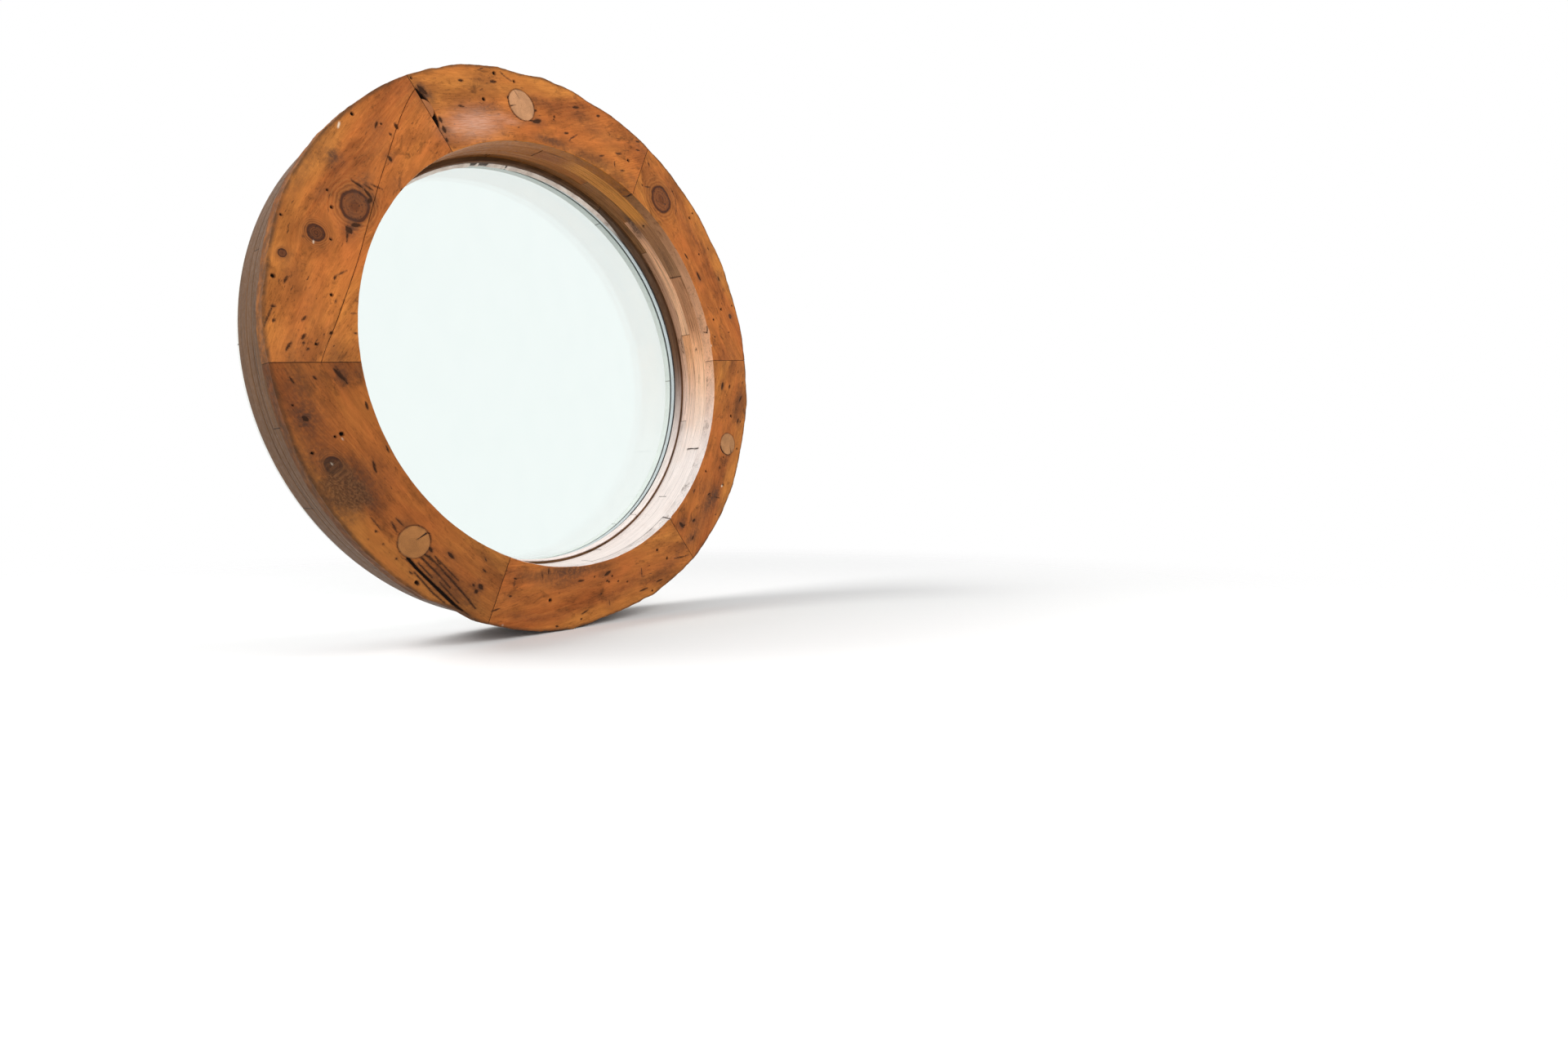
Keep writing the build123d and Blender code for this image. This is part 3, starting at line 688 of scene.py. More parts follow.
def face_section(angle, low, high, bore, hewn):
    """Section of a face board: up its bore or seam, across the front, down its rim or seam."""
    arc = np.radians(angle) * FACE_MIDDLE / MM
    section = Section(angle)
    for y in np.linspace(0.0, FACE_FRONT + 1.6 * MM, 12):
        uneven = 0.7 * noise2(arc / 45, y / MM / 14 + 3, 2) + 0.25 * noise2(arc / 7, y / MM / 5, 3)
        if bore:
            for centre, edge, full, depth, first, last in BORE_CHIPS:
                chip = smooth(edge, full, np.abs(turn(angle, centre))) * smooth(first, last, y)
                uneven = uneven + depth * chip
        else:
            uneven = uneven * 0.1
        section.add(low + uneven * MM, y, BORE_SIDE)
    base = section.rows[-1][0]
    worn = (0.9 + 1.2 * noise1(arc / 22, 4) if bore else 0.5) * MM
    section.add(base + 0.25 * worn, FACE_FRONT + 0.5 * worn, BORE_SIDE)
    section.add(base + 0.9 * worn, FACE_FRONT + 0.12 * worn, ARRIS)
    rough, jag = 0.6 * MM, 0.0
    if hewn:
        rough = (0.9 + 3.0 * noise1(arc / 16, 6) ** 2 + 0.9 * noise1(arc / 4.5, 7)) * MM
        jag = (1.6 * noise1(arc / 19, 8) ** 2 + 0.5 * noise1(arc / 4.5, 9)) * MM
    first, last = base + 1.4 * worn, high - jag - rough
    count = max(10, round(float(np.max(high - low)) / FACE_STEP))
    for t in np.arange(count + 1) / count:
        section.add(first + (last - first) * t, FACE_FRONT, FRONT)
    section.add(high - jag - 0.45 * rough, FACE_FRONT + 0.25 * rough)
    section.add(high - jag - 0.1 * rough, FACE_FRONT + 0.75 * rough)
    for y in np.linspace(FACE_FRONT + 7.5 * MM, 0.0, 9):
        uneven = 1.3 * noise2(arc / 24, y / MM / 12, 10) + 0.6 * noise2(arc / 6, y / MM / 5, 12)
        section.add(high - jag * 0.6 - uneven * hewn * MM, y)
    for t in (0.7, 0.35):
        section.add(low + (high - low) * t, 0.0, BACK)
    return section.arrays()


def face_board(number, part, material):
    """One board of the face: planed front with its holes and checks, hewn rim, worn arrises."""
    node = f"face_segment_{number}{part}"
    tone, tilt, bow, pith_across, pith_below, slope = FACE_BOARDS[node]
    start = FACE_JOINT + PITCH * (number - 1)
    bore, hewn = part != "_outer", part != "_inner"
    angle = columns_between(start, start + PITCH, FACE_STEP, FACE_MIDDLE)
    low = np.full_like(angle, BORE) if bore else seam_radius(angle) + 0.2 * MM
    high = rim_radius(angle) - 0.35 * MM if hewn else seam_radius(angle) - 0.2 * MM
    r, y, side = face_section(angle, low, high, bore, hewn)
    points = place(angle[:, None], r, y)
    x, z = points[..., 0] / MM, points[..., 2] / MM
    flow, ring, knot, burn = grain(points, start + PITCH / 2, tilt, bow, pith_across, pith_below, slope,
                                   FACE_FRONT)
    fields = face_marks(x, z)
    if number == KNOT_HOLE_NUMBER:
        add_knot_hole(fields, x, z)

    # how far the front is sunk: planing waves, marks, worn joints and a fine groove round each knot
    away = from_joint(angle, r)
    relief = fields["deep"] + (0.5 + noise2(x / 11, z / 11, 16)) * np.exp(-away / 1.1)
    for height, width, seed in ((0.55, 60, 13), (0.25, 17, 14), (0.08, 5, 15)):
        relief = relief + height * noise2(x / width, z / width, seed)
    relief = relief + 0.35 * np.exp(-(((2.0 - knot) / 0.10) ** 2)) * (knot > 0)
    joint = np.exp(-away / 0.8)
    if part:
        seam = np.abs(high[:, None] - r if bore else r - low[:, None]) / MM
        relief = relief + (0.1 + 0.8 * noise2(x / 9, z / 9, 17)) * np.exp(-seam)
        joint = np.maximum(joint, (0.6 + 0.4 * noise2(x / 7, z / 7, 18)) * np.exp(-seam / 0.7))
    front = (side == FRONT) | (side == ARRIS)
    y = np.where(front, np.minimum(y + np.maximum(relief, 0) * MM, DEEPEST), y)
    points[..., 1] = y

    # the bore has marks of its own, and the rim shows those of the face faintly
    mark, stain = fields["mark"], fields["stain"]
    in_bore = bore & (side <= ARRIS)
    if bore:
        bore_mark, bore_stain = bore_marks(angle[:, None], y / MM)
        mark, stain = np.where(in_bore, bore_mark, mark), np.where(in_bore, bore_stain, stain)
    shown = np.where(front | in_bore, 1.0, np.where(side == OUTSIDE, 0.35, 0.0))
    on_side = side == BORE_SIDE
    first, last, _ = BORE_TONES_AND_LIGHT["face_segment"][number - 1]
    extra = {key: fields[key] * front for key in ("dent", "bark", "pale_and_glint", "rub_and_sheen")}
    extra |= {
        "flow": flow, "ring": ring, "knot": knot * front, "burn": burn, "joint": joint, "tone": tone,
        "mark": mark * shown, "stain": stain * shown, "side": on_side,
        "bleach_and_daylight": bleach_and_daylight_at(angle)[:, None] * on_side,
        "hewn": smooth(7.0, 0.0, np.abs(high[:, None] - r) / MM - 2.0) * hewn,
        "tint": blend(first, last, ((angle - start) / PITCH)[:, None, None]),
    }
    dress(swept(node + "_board", points, extra), material, node)


class Ring(NamedTuple):
    """A ring of boards behind the face. Step, corners, unevenness and gap are in millimetres."""
    name: str
    boards: int
    joint: float
    inner: float
    outer: float
    front: float
    back: float
    step: float
    corners: tuple
    uneven: float
    gap: float
    seed: int
    material: bpy.types.Material
    slot: str


def ring_section(ring, angle, back_off, seed):
    """Section of a board behind the face: rounded corners and slightly uneven sides."""
    front_in, back_in, front_out, back_out = (corner * MM for corner in ring.corners)
    inner, outer, front, back, step = ring.inner, ring.outer, ring.front, ring.back, ring.step * MM
    arc = np.radians(angle) * inner / MM
    section = Section(angle)
    base = inner + back_off * MM
    flat = back - front - front_in - back_in
    count = max(3, round(flat / step))
    near = 1.3 * MM / flat
    for t in sorted([*np.linspace(0, 1, count + 1), near, 1 - near]):
        y = back - back_in - flat * t
        lump = 0.7 * noise2(arc / 40, y / MM / 15, seed) + 0.3 * noise2(arc / 8, y / MM / 6, seed + 1)
        section.add(base + ring.uneven * lump * MM, y, BORE_SIDE)
    section.corner(base + 0.3 * ring.uneven * MM, front, front_in, front_in, (0.35, 0.75, 1.0), ARRIS)
    for t in (0.25, 0.6):
        section.add(inner + (outer - inner) * t, front, FRONT)
    section.corner(outer, front, -front_out, front_out, (1.0, 0.5, 0.0), OUTSIDE)
    flat = back - front - front_out - back_out
    count = max(2, round(flat / (step * 1.6)))
    for t in np.linspace(0, 1, count + 2)[1:-1]:
        y = front + front_out + flat * t
        section.add(outer - ring.uneven * 0.8 * noise2(arc / 30, y / MM / 14, seed + 2) * MM, y)
    section.corner(outer, back, -back_out, -back_out, (0.0, 0.5, 1.0), OUTSIDE)
    for t in (0.75, 0.4):
        section.add(inner + (outer - inner) * t, back, BACK)
    section.corner(base, back, back_in, -back_in, (1.0, 0.5), ARRIS)
    return section.arrays()


def ring_board(ring, number):
    """One board of a ring behind the face, with its grain along its chord."""
    node = f"{ring.name}_{number}"
    sweep = 360.0 / ring.boards
    start = ring.joint + sweep * (number - 1)
    seed = ring.seed + number
    first, last, back_off = BORE_TONES_AND_LIGHT[ring.name][number - 1]
    angle = columns_between(start, start + sweep, ring.step * MM, ring.inner, ring.gap)
    r, y, side = ring_section(ring, angle, back_off, seed)
    points = place(angle[:, None], r, y)
    # the tilt of the grain and the place of the pith differ from board to board
    tilt = seed * 37 % 11 - 5
    pith_across = (seed * 53 % 17 - 8) * 0.01
    pith_below = 0.05 + seed * 29 % 9 * 0.01
    flow, pith, _, _ = grain(points, start + sweep / 2, tilt, 0.1, pith_across, pith_below, 0.08, ring.front)
    # the tint carries painted daylight and painted shade round the bore, with the board's own tone
    tint = blend(first, last, ((angle - start) / sweep)[:, None, None])
    if node in TINT_CHANGES:
        rise, fall, other = TINT_CHANGES[node]
        a = turn(angle, 0.0)[:, None, None]
        tint = blend(tint, other, smooth(*rise, a) * smooth(*fall, a))
    inside = side <= ARRIS
    mark, stain = bore_marks(angle[:, None], y / MM)
    seam = 0.62 * np.exp(-np.minimum(y - ring.front, ring.back - y) / MM / 1.1) * inside
    extra = {
        "flow": flow, "ring": pith, "mark": mark * inside, "stain": stain * inside, "side": inside,
        "tint": np.where(inside[..., None], tint, HIDDEN_TINT), "bleach_and_daylight": bleach_and_daylight_at(angle)[:, None] * inside,
        "joint": np.maximum(np.exp(-from_joint(angle, r) / 0.8), seam),
    }
    dress(swept(node + "_board", points, extra), ring.material, node)


def peg_piece(number, material):
    """End-grain peg: slightly uneven and split, with a rounded edge."""
    peg_x, peg_z = on_circle(*PEGS[number - 1])
    pith, tint = PEG_LOOKS[number - 1][2:]
    bearing = np.arange(0, 360, 2.5)
    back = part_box(f"peg_{number}")[1].y
    edge = PEG_RADIUS - 0.1 * MM
    section = Section(bearing)
    for t in np.linspace(0.02, 1.0, 22):
        section.add((PEG_RADIUS - 1.1 * MM) * t, FACE_FRONT + 0.35 * MM, FRONT)
    section.add(PEG_RADIUS - 0.45 * MM, FACE_FRONT + 0.5 * MM, FRONT)
    section.add(edge, FACE_FRONT + 1.2 * MM, FRONT)
    section.add(edge, FACE_FRONT + 5 * MM)
    for radius in (edge, PEG_RADIUS * 0.5, PEG_RADIUS * 0.02):
        section.add(radius, back)
    r, y, side = section.arrays()
    front = side == FRONT
    dx, dz = r * np.cos(np.radians(bearing))[:, None], r * np.sin(np.radians(bearing))[:, None]
    mark = np.zeros_like(r)
    for owner, *ends, width in PEG_CHECKS:
        if owner == number:
            away, t = capsule(dx / MM, dz / MM, *ends)
            mark = np.maximum(mark, np.clip(3.0 - (away - width / 2 * (1.2 - t)), 0.0, 5.5))
    x, z = (peg_x + dx) / MM, (peg_z + dz) / MM
    dent = 0.35 * noise2(x / 14, z / 14, 21) + 0.2 * noise2(x / 4, z / 4, 22) + 2.2 * smooth(3.0, 4.4, mark)
    y = np.where(front, y + dent * MM, y)
    extra = {
        "ring": np.hypot(dx - pith[0] * MM, dz - pith[1] * MM), "mark": mark * front,
        "tint": np.array(tint)[None, None, :], "edge": smooth(PEG_RADIUS - 3.5 * MM, PEG_RADIUS, r) * front,
    }
    piece = swept(f"peg_{number}_end", np.stack([peg_x + dx, y, peg_z + dz], -1), extra, closed=True)
    dress(piece, material, f"peg_{number}")


def putty_bead(material):
    """Hand-run putty between stop and glass: full and chipped over the top, a thin skin down the right."""
    angle = np.linspace(PUTTY_START, PUTTY_START + PUTTY_SWEEP, PUTTY_COLUMNS)
    arc = np.radians(angle) * PUTTY_MIDDLE / MM
    full = smooth(*PUTTY_FULL, angle)
    lump = 0.55 * noise1(arc / 22, 31) + 0.3 * noise1(arc / 6, 32) + 0.15 * noise1(arc / 2.2, 33)
    bite = 0.4 * smooth(0.70, 0.88, noise1(arc / 11, 34)) * full
    gap = np.zeros_like(angle)
    for centre, half in PUTTY_GAPS:
        gap = np.maximum(gap, smooth(half * 1.5, half * 0.7, np.abs(angle - centre)))
    rise = (1.2 + 13.2 * full * (0.76 + 0.24 * lump) - 1.5 * bite) * (1 - 0.15 * gap) * MM
    reach = (0.35 + 5.7 * full * (0.68 + 0.32 * lump) - 1.2 * bite) * (1 - 0.35 * gap) * MM
    glass = PANE_FRONT - 0.1 * MM
    section = Section(angle)
    for outward, share in ((1.2, 0.0), (1.2, 0.3), (0.4, 1.0)):
        section.add(STOP_SIGHT + outward * MM, glass - rise * share)
    for t in (0.04, 0.15, 0.3, 0.45, 0.6, 0.75, 0.88, 0.96):
        belly = (1.2 - 0.9 * noise2(arc / 5, t * 9, 35)) * math.sin(math.pi * t) * full * MM
        section.add(STOP_SIGHT - reach * t - belly, glass - rise * (1 - t))
    section.add(STOP_SIGHT - reach, glass)
    r, y, _ = section.arrays()
    extra = {
        "full": full[:, None], "chip": bite[:, None],
        "gap": gap[:, None] * np.linspace(1.0, 0.0, r.shape[1])[None, :],
    }
    piece = swept("putty_bead_run", place(angle[:, None], r, y), extra, crease=60)
    dress(piece, material, "putty_bead")


# Materials
class Shader:
    """Nodes of a material or world written as plain sums, with the colour and height built up so far."""

    def __init__(self, owner, output="ShaderNodeOutputMaterial"):
        owner.use_nodes = True
        self.owner = owner
        self.tree = owner.node_tree
        self.tree.nodes.clear()
        self.output = self.node(output)
        self.colour = None
        self.height = 0.0

    def node(self, kind, **settings):
        made = self.tree.nodes.new(kind)
        for key, value in settings.items():
            setattr(made, key, value)
        return made

    def put(self, source, target):
        """Feed a socket from another socket, a number, a colour or the name of a colour."""
        if isinstance(source, str):
            source = COLOURS[source]
        if isinstance(source, (int, float)):
            target.default_value = float(source)
        elif isinstance(source, tuple):
            target.default_value = (*source, 1.0) if len(target.default_value) == 4 else source
        else:
            self.tree.links.new(source, target)

    def made_from(self, made, sources):
        for source, socket in zip(sources, made.inputs):
            self.put(source, socket)
        return made.outputs[0]

    def math(self, operation, a, b=0.0):
        return self.made_from(self.node("ShaderNodeMath", operation=operation), (a, b))

    def add(self, *terms):
        total = terms[0]
        for term in terms[1:]:
            total = self.math("ADD", total, term)
        return total

    def mul(self, *terms):
        total = terms[0]
        for term in terms[1:]:
            total = self.math("MULTIPLY", total, term)
        return total

    def swing(self, noise, *amounts):
        """A noise turned into ups and downs about 0."""
        return self.mul(self.math("SUBTRACT", noise, 0.5), *amounts)

    def ease(self, value, low, high, start=0.0, end=1.0):
        """start below low, end above high, eased."""
        if low > high:
            low, high, start, end = high, low, end, start
        made = self.node("ShaderNodeMapRange", interpolation_type="SMOOTHSTEP")
        return self.made_from(made, (value, low, high, start, end))

    def attribute(self, name, output="Fac"):
        return self.node("ShaderNodeAttribute", attribute_name=name).outputs[output]

    def object(self):
        return self.node("ShaderNodeTexCoord").outputs["Object"]

    def parts(self, vector):
        made = self.node("ShaderNodeSeparateXYZ")
        self.put(vector, made.inputs[0])
        return made.outputs

    def noise(self, vector, scale, detail=2.0, rough=0.5, warp=0.0):
        made = self.node("ShaderNodeTexNoise")
        self.put(vector, made.inputs["Vector"])
        for key, value in (("Scale", scale), ("Detail", detail), ("Roughness", rough), ("Distortion", warp)):
            self.put(value, made.inputs[key])
        return made.outputs[0]

    def drawn(self, vector, stretch, *settings):
        """Noise with a scale of its own along each axis, such as along and across the grain."""
        made = self.node("ShaderNodeVectorMath", operation="MULTIPLY")
        return self.noise(self.made_from(made, (vector, stretch)), 1.0, *settings)

    def mix(self, amount, a, b, way="MIX"):
        made = self.node("ShaderNodeMix", data_type="RGBA", blend_type=way)
        for source, index in ((amount, 0), (a, 6), (b, 7)):
            self.put(source, made.inputs[index])
        return made.outputs[2]

    def scale(self, colour, amount):
        made = self.node("ShaderNodeVectorMath", operation="SCALE")
        self.put(colour, made.inputs[0])
        self.put(amount, made.inputs["Scale"])
        return made.outputs[0]

    def cover(self, colour, *amounts):
        """Lay a colour over the colour so far, as far as the product of the amounts."""
        self.colour = self.mix(self.mul(*amounts), self.colour, colour)

    def darken(self, factor, *amounts):
        """Cover the colour so far with a darker version of itself."""
        self.cover(self.scale(self.colour, factor), *amounts)

    def shade(self, amount):
        self.colour = self.scale(self.colour, amount)

    def vary(self, noise, *amounts):
        """Make the colour lighter and darker with a noise."""
        self.shade(self.add(1.0, self.swing(noise, *amounts)))

    def lift(self, *amounts):
        """Raise the surface by the product of the amounts."""
        self.height = self.add(self.height, self.mul(*amounts))

    def shader(self, kind, **inputs):
        """Shader node with its inputs given by name, _ for a space."""
        made = self.node(kind)
        for key, value in inputs.items():
            self.put(value, made.inputs[key.replace("_", " ")])
        return made.outputs[0]

    def join(self, amount, first, second):
        return self.made_from(self.node("ShaderNodeMixShader"), (amount, first, second))

    def finish(self, result):
        self.put(result, self.output.inputs["Surface"])
        return self.owner

    def surface(self, rough, distance, strength, **fixed):
        """End with the colour and height so far: distance of the bump in metres, and its strength."""
        bump = self.shader("ShaderNodeBump", Strength=strength, Distance=distance, Height=self.height)
        return self.finish(self.shader(
            "ShaderNodeBsdfPrincipled", Base_Color=self.colour, Roughness=rough, Normal=bump, **fixed))


def new_material(name):
    return Shader(bpy.data.materials.new(name))


def knots(s, where):
    """Knots: dark rim, brown heart with fine rings, and a shadowed ring outside."""
    knot, burn = s.attribute("knot"), s.attribute("burn")
    has_knot = s.ease(knot, 0.02, 0.3)
    wobble = s.swing(s.noise(where, 34.0), 0.30)
    ratio = s.add(s.math("SUBTRACT", 3.0, knot), wobble)
    rings = s.math("SINE", s.add(s.mul(ratio, 27.0), s.mul(wobble, 9.0)))
    heart = s.mix(s.ease(rings, -0.8, 0.9, 0.0, 0.55), "knot heart", "knot rings")
    heart = s.mix(s.ease(ratio, 0.42, 0.16), heart, "knot pith")
    heart = s.mix(s.mul(burn, s.ease(rings, -0.6, 0.6, 1.0, 0.45)), heart, "knot burn")
    band = s.mul(s.ease(s.add(ratio, s.mul(burn, 0.13)), 0.80, 0.87), s.ease(ratio, 1.07, 1.0))
    heart = s.mix(s.mul(band, 0.90), heart, "knot rim")
    inside = s.mul(s.ease(ratio, 1.03, 0.94), has_knot)
    outside = s.mul(s.math("SUBTRACT", 1.0, inside), has_knot)
    crack = s.ease(s.noise(where, 210.0, 2.0, 0.5, 0.8), 0.60, 0.66)
    s.cover(heart, inside)
    s.cover("knot swirl", s.ease(ratio, 2.3, 1.2), outside, s.ease(rings, 0.2, -0.9), 0.20)
    s.cover("knot halo", s.ease(ratio, 1.75, 1.0), outside, s.ease(rings, -0.2, 0.9, 0.18, 0.42))
    s.cover("knot crack", inside, crack, 0.75)
    s.lift(inside, s.ease(rings, -1, 1, -0.5, 0.3))
    s.lift(inside, crack, -1.2)


def hewn_rim(s, where, flow):
    """Dark hewn edge of the face, dirt with painted shade along the rim, and the patch of bark."""
    # dark band along the rim: dirt and painted shade
    edge = s.ease(s.noise(where, 55.0, 4.0, 0.65), 0.34, 0.62, 0.58, 1.0)
    s.cover("hewn edge and shade", s.attribute("hewn"), edge, 0.88)
    ragged = s.swing(s.noise(where, 50.0, 4.0, 0.6), 0.9)
    bark = s.ease(s.add(s.attribute("bark"), ragged), 0.22, 0.72)
    mottle = s.drawn(flow, (210, 290, 290), 3.0, 0.62)
    s.cover(s.mix(s.ease(mottle, 0.34, 0.66), "bark dark", "bark light"), bark, 0.80)
    s.lift(bark, s.ease(mottle, 0.4, 0.62, -1.6, 0.6))


def pine(name, ring_gap, face):
    """Old pine: growth rings, fibres, knots, nail marks, stains and worn joints."""
    s = new_material(name)
    where, flow = s.object(), s.attribute("flow", "Vector")
    tint, bleach_and_daylight, joint = s.attribute("tint", "Color"), s.attribute("bleach_and_daylight"), s.attribute("joint")

    # growth rings, a little wandering, and stronger in some places
    wander = s.drawn(flow, (3.5, 13, 13), 4.0, 0.6)
    phase = s.math("DIVIDE", s.add(s.attribute("ring"), s.mul(wander, 0.020)), ring_gap)
    saw = s.math("FRACT", phase)
    strong = s.ease(s.drawn(flow, (3.38, 18.2, 18.2), 3.0), 0.42, 0.70, 0.08, 1.0)
    if face:
        strong = s.math("MAXIMUM", strong, s.ease(s.attribute("knot"), 0.3, 1.5, 0.0, 0.9))
    late = s.mul(s.ease(saw, 0.25, 0.90), s.ease(saw, 1.0, 0.93), strong)

    fibre = s.drawn(flow, (30, 560, 560), 3.0, 0.65)
    streak = s.drawn(flow, (13, 70, 70), 5.0, 0.70, 0.3)
    cloud = s.drawn(flow, (9, 21, 21), 5.0, 0.62, 0.25)
    broad = s.drawn(flow, (2.4, 9, 9), 3.0, 0.55, 0.4)
    patch = s.noise(where, 9.0, 3.0, 0.6, 0.3)
    fine = s.noise(where, 120.0, 3.0, 0.65)

    # colour of the wood, paler on the lower right of the bore where daylight falls: partly sun bleaching,
    # partly painted daylight. There the grain shows less, as in bleached and brightly lit wood.
    if face:
        s.colour = s.mix(s.ease(broad, 0.30, 0.68), "face gold", "face red")
        s.cover("face deep", s.ease(patch, 0.50, 0.72, 0.0, 0.50))
        s.cover("face deep", s.ease(cloud, 0.44, 0.68, 0.0, 0.66))
        # the bore takes its board's tint, which holds painted light and shade
        s.cover(tint, s.attribute("side"))
    else:
        s.colour = tint
        s.darken(0.62, s.ease(broad, 0.45, 0.72, 0.0, 0.28))
    # paler lower right of the bore: sun bleaching with painted daylight
    s.cover("bleached_and_lit", s.math("MINIMUM", s.mul(bleach_and_daylight, s.ease(patch, 0.25, 0.6, 0.82, 1.08)), 1.0))
    plainer = s.math("SUBTRACT", 1.0, s.mul(bleach_and_daylight, 0.62))
    warm = s.mix(0.5, s.scale(s.colour, 0.60), s.mix(1.0, s.colour, "warm filter", "MULTIPLY"))
    s.cover(warm, late, 0.45 if face else 0.30, plainer)
    s.vary(fibre, 0.62, plainer)
    if face:
        s.vary(streak, 1.05)
        smoke = s.drawn(flow, (20, 34, 34), 6.0, 0.72, 0.5)
        s.cover("smoke", s.ease(smoke, 0.53, 0.68), s.ease(patch, 0.40, 0.56), 0.66)
        grit = s.ease(s.drawn(flow, (110, 330, 330), 4.0, 0.72), 0.54, 0.66)
        s.darken(0.34, grit, s.ease(cloud, 0.36, 0.60, 0.25, 1.0), 0.62)
    else:
        s.vary(s.drawn(flow, (4, 26, 330), 4.0, 0.66, 0.2), 1.90, plainer)
        s.darken(0.30, s.ease(s.drawn(flow, (3, 20, 210), 3.0, 0.55), 0.60, 0.66), 0.66, plainer)
    pore = s.ease(s.drawn(flow, (30, 520, 520), 2.0, 0.6), 0.60, 0.72)
    s.darken(0.42, pore, s.ease(s.drawn(flow, (8, 24, 24), 3.0), 0.42, 0.62), 0.60, plainer)
    fleck = s.ease(s.drawn(flow, (62, 260, 260)), 0.64, 0.74)
    fleck = s.mul(fleck, s.ease(s.noise(where, 17.0, 3.0), 0.44, 0.62))
    s.cover("resin", fleck, 0.80, plainer)
    for noise, amount in ((late, 0.22), (fibre, 0.30), (streak, 0.25), (fleck, -0.8)):
        s.lift(noise, amount)
    if face:
        knots(s, where)

    # stains, rubbed places with a painted sheen, holes with dirt and painted shade inside, dents, chips with
    # some painted glints, and joints
    stain = s.mul(s.attribute("stain"), s.ease(fine, 0.30, 0.62, 0.55, 1.12))
    s.cover("stain", s.math("MINIMUM", s.mul(stain, 0.92), 1.0))
    if face:
        # rubbed places: worn varnish, lighter by a painted sheen
        s.cover("rubbed wood sheen", s.attribute("rub_and_sheen"), s.ease(fibre, 0.35, 0.62, 0.45, 1.0), 0.66)
    ragged = s.swing(s.noise(where, 420.0, 2.0, 0.6))
    hit = s.attribute("mark")
    core = s.ease(s.add(hit, s.mul(ragged, 1.5)), 2.7, 3.7)
    soot = s.ease(s.add(hit, s.mul(ragged, 2.4)), 0.2, 3.2)
    s.cover("soot", soot, 0.50)
    # near-black cores of holes, open checks and gaps: dirt with painted shade of their depth
    s.cover("hole", core)
    if face:
        torn = s.add(s.attribute("dent"), s.mul(ragged, 3.0), s.swing(fibre, 4.5))
        dented = s.ease(torn, 2.2, 4.2)
        s.cover("torn fibre", s.ease(torn, 0.4, 3.0, 0.0, 0.42))
        s.cover("dent", dented, 0.88)
        s.lift(dented, -1.2)
        # pale chips and scratches, some of them painted glints
        s.cover("chip", s.attribute("pale_and_glint"), s.ease(fine, 0.3, 0.5, 0.6, 1.0), 0.85)
    s.cover("joint", s.ease(s.add(joint, s.mul(ragged, 0.35)), 0.35, 0.85, 0.0, 0.90))
    if face:
        hewn_rim(s, where, flow)
        s.shade(s.attribute("tone"))
    for mark, amount in ((core, -2.0), (soot, -0.5), (joint, -0.8)):
        s.lift(mark, amount)
    rough = s.add(s.ease(fine, 0.3, 0.7, 0.36, 0.50), s.mul(core, 0.35), s.mul(stain, 0.10))
    if face:
        rough = s.add(rough, s.mul(s.attribute("hewn"), 0.25), s.mul(s.attribute("rub_and_sheen"), -0.12))
    return s.surface(rough, 0.0006, 0.65, Specular_IOR_Level=0.09 if face else 0.05)


def end_grain(name, peg=True):
    """End grain: mottled, split and dirty at its edge, with faint rings on the pegs."""
    s = new_material(name)
    where = s.object()
    fine, broad = s.noise(where, 520.0, 3.0, 0.6), s.noise(where, 45.0, 4.0, 0.55)
    tint = s.attribute("tint", "Color") if peg else "filler"
    s.colour = s.mix(s.ease(broad, 0.3, 0.7), s.scale(tint, 1.08) if peg else "filler light", tint)
    s.lift(fine, 0.5)
    if peg:
        wave = s.math("SINE", s.mul(s.add(s.attribute("ring"), s.mul(broad, 0.006)), 2100.0))
        s.cover(s.scale(tint, 0.62), s.ease(wave, -0.2, 1.0, 0.0, 0.30))
        s.lift(wave, 0.15)
    s.shade(s.ease(fine, 0.25, 0.75, 0.90, 1.08))
    s.shade(s.ease(broad, 0.30, 0.72, 1.06, 0.86))
    hit = s.add(s.attribute("mark"), s.swing(s.noise(where, 420.0, 2.0, 0.6), 1.3))
    core = s.ease(hit, 2.6, 3.6)
    s.cover("peg soot", s.ease(hit, 0.8, 3.2, 0.0, 0.40))
    # near-black cores of the peg splits: dirt with painted shade
    s.cover("hole", core)
    s.cover("peg edge", s.attribute("edge"), s.ease(broad, 0.3, 0.7, 0.1, 0.75))
    s.lift(core, -1.5)
    return s.surface(s.ease(fine, 0.3, 0.7, 0.44, 0.60), 0.0005, 0.6, Specular_IOR_Level=0.2)


def putty(name):
    """Old putty: pinkish grey, cracked and dirty; the thin skin on the right is nearly black."""
    s = new_material(name)
    where = s.object()
    broad, fine = s.noise(where, 45.0, 4.0, 0.6), s.noise(where, 420.0, 3.0, 0.6)
    s.colour = s.mix(s.ease(broad, 0.32, 0.66), "putty", "putty grey")
    s.cover("putty speck", s.ease(fine, 0.60, 0.72, 0.0, 0.6))
    cells = s.node("ShaderNodeTexVoronoi", feature="DISTANCE_TO_EDGE")
    s.put(where, cells.inputs["Vector"])
    s.put(95.0, cells.inputs["Scale"])
    crack = s.mul(s.ease(cells.outputs["Distance"], 0.04, 0.01), s.ease(broad, 0.60, 0.70))
    s.cover("putty crack", crack, 0.8)
    s.cover("putty chip", s.attribute("chip"), 0.55)
    s.cover("putty gap", s.ease(s.add(s.attribute("gap"), s.swing(fine, 0.8)), 0.15, 0.45, 0.0, 0.92))
    s.colour = s.mix(s.attribute("full"), "putty skin", s.colour)
    for noise, amount in ((broad, 1.0), (fine, 0.5), (crack, -1.5)):
        s.lift(noise, amount)
    return s.surface(s.ease(fine, 0.3, 0.7, 0.6, 0.85), 0.0008, 0.7)


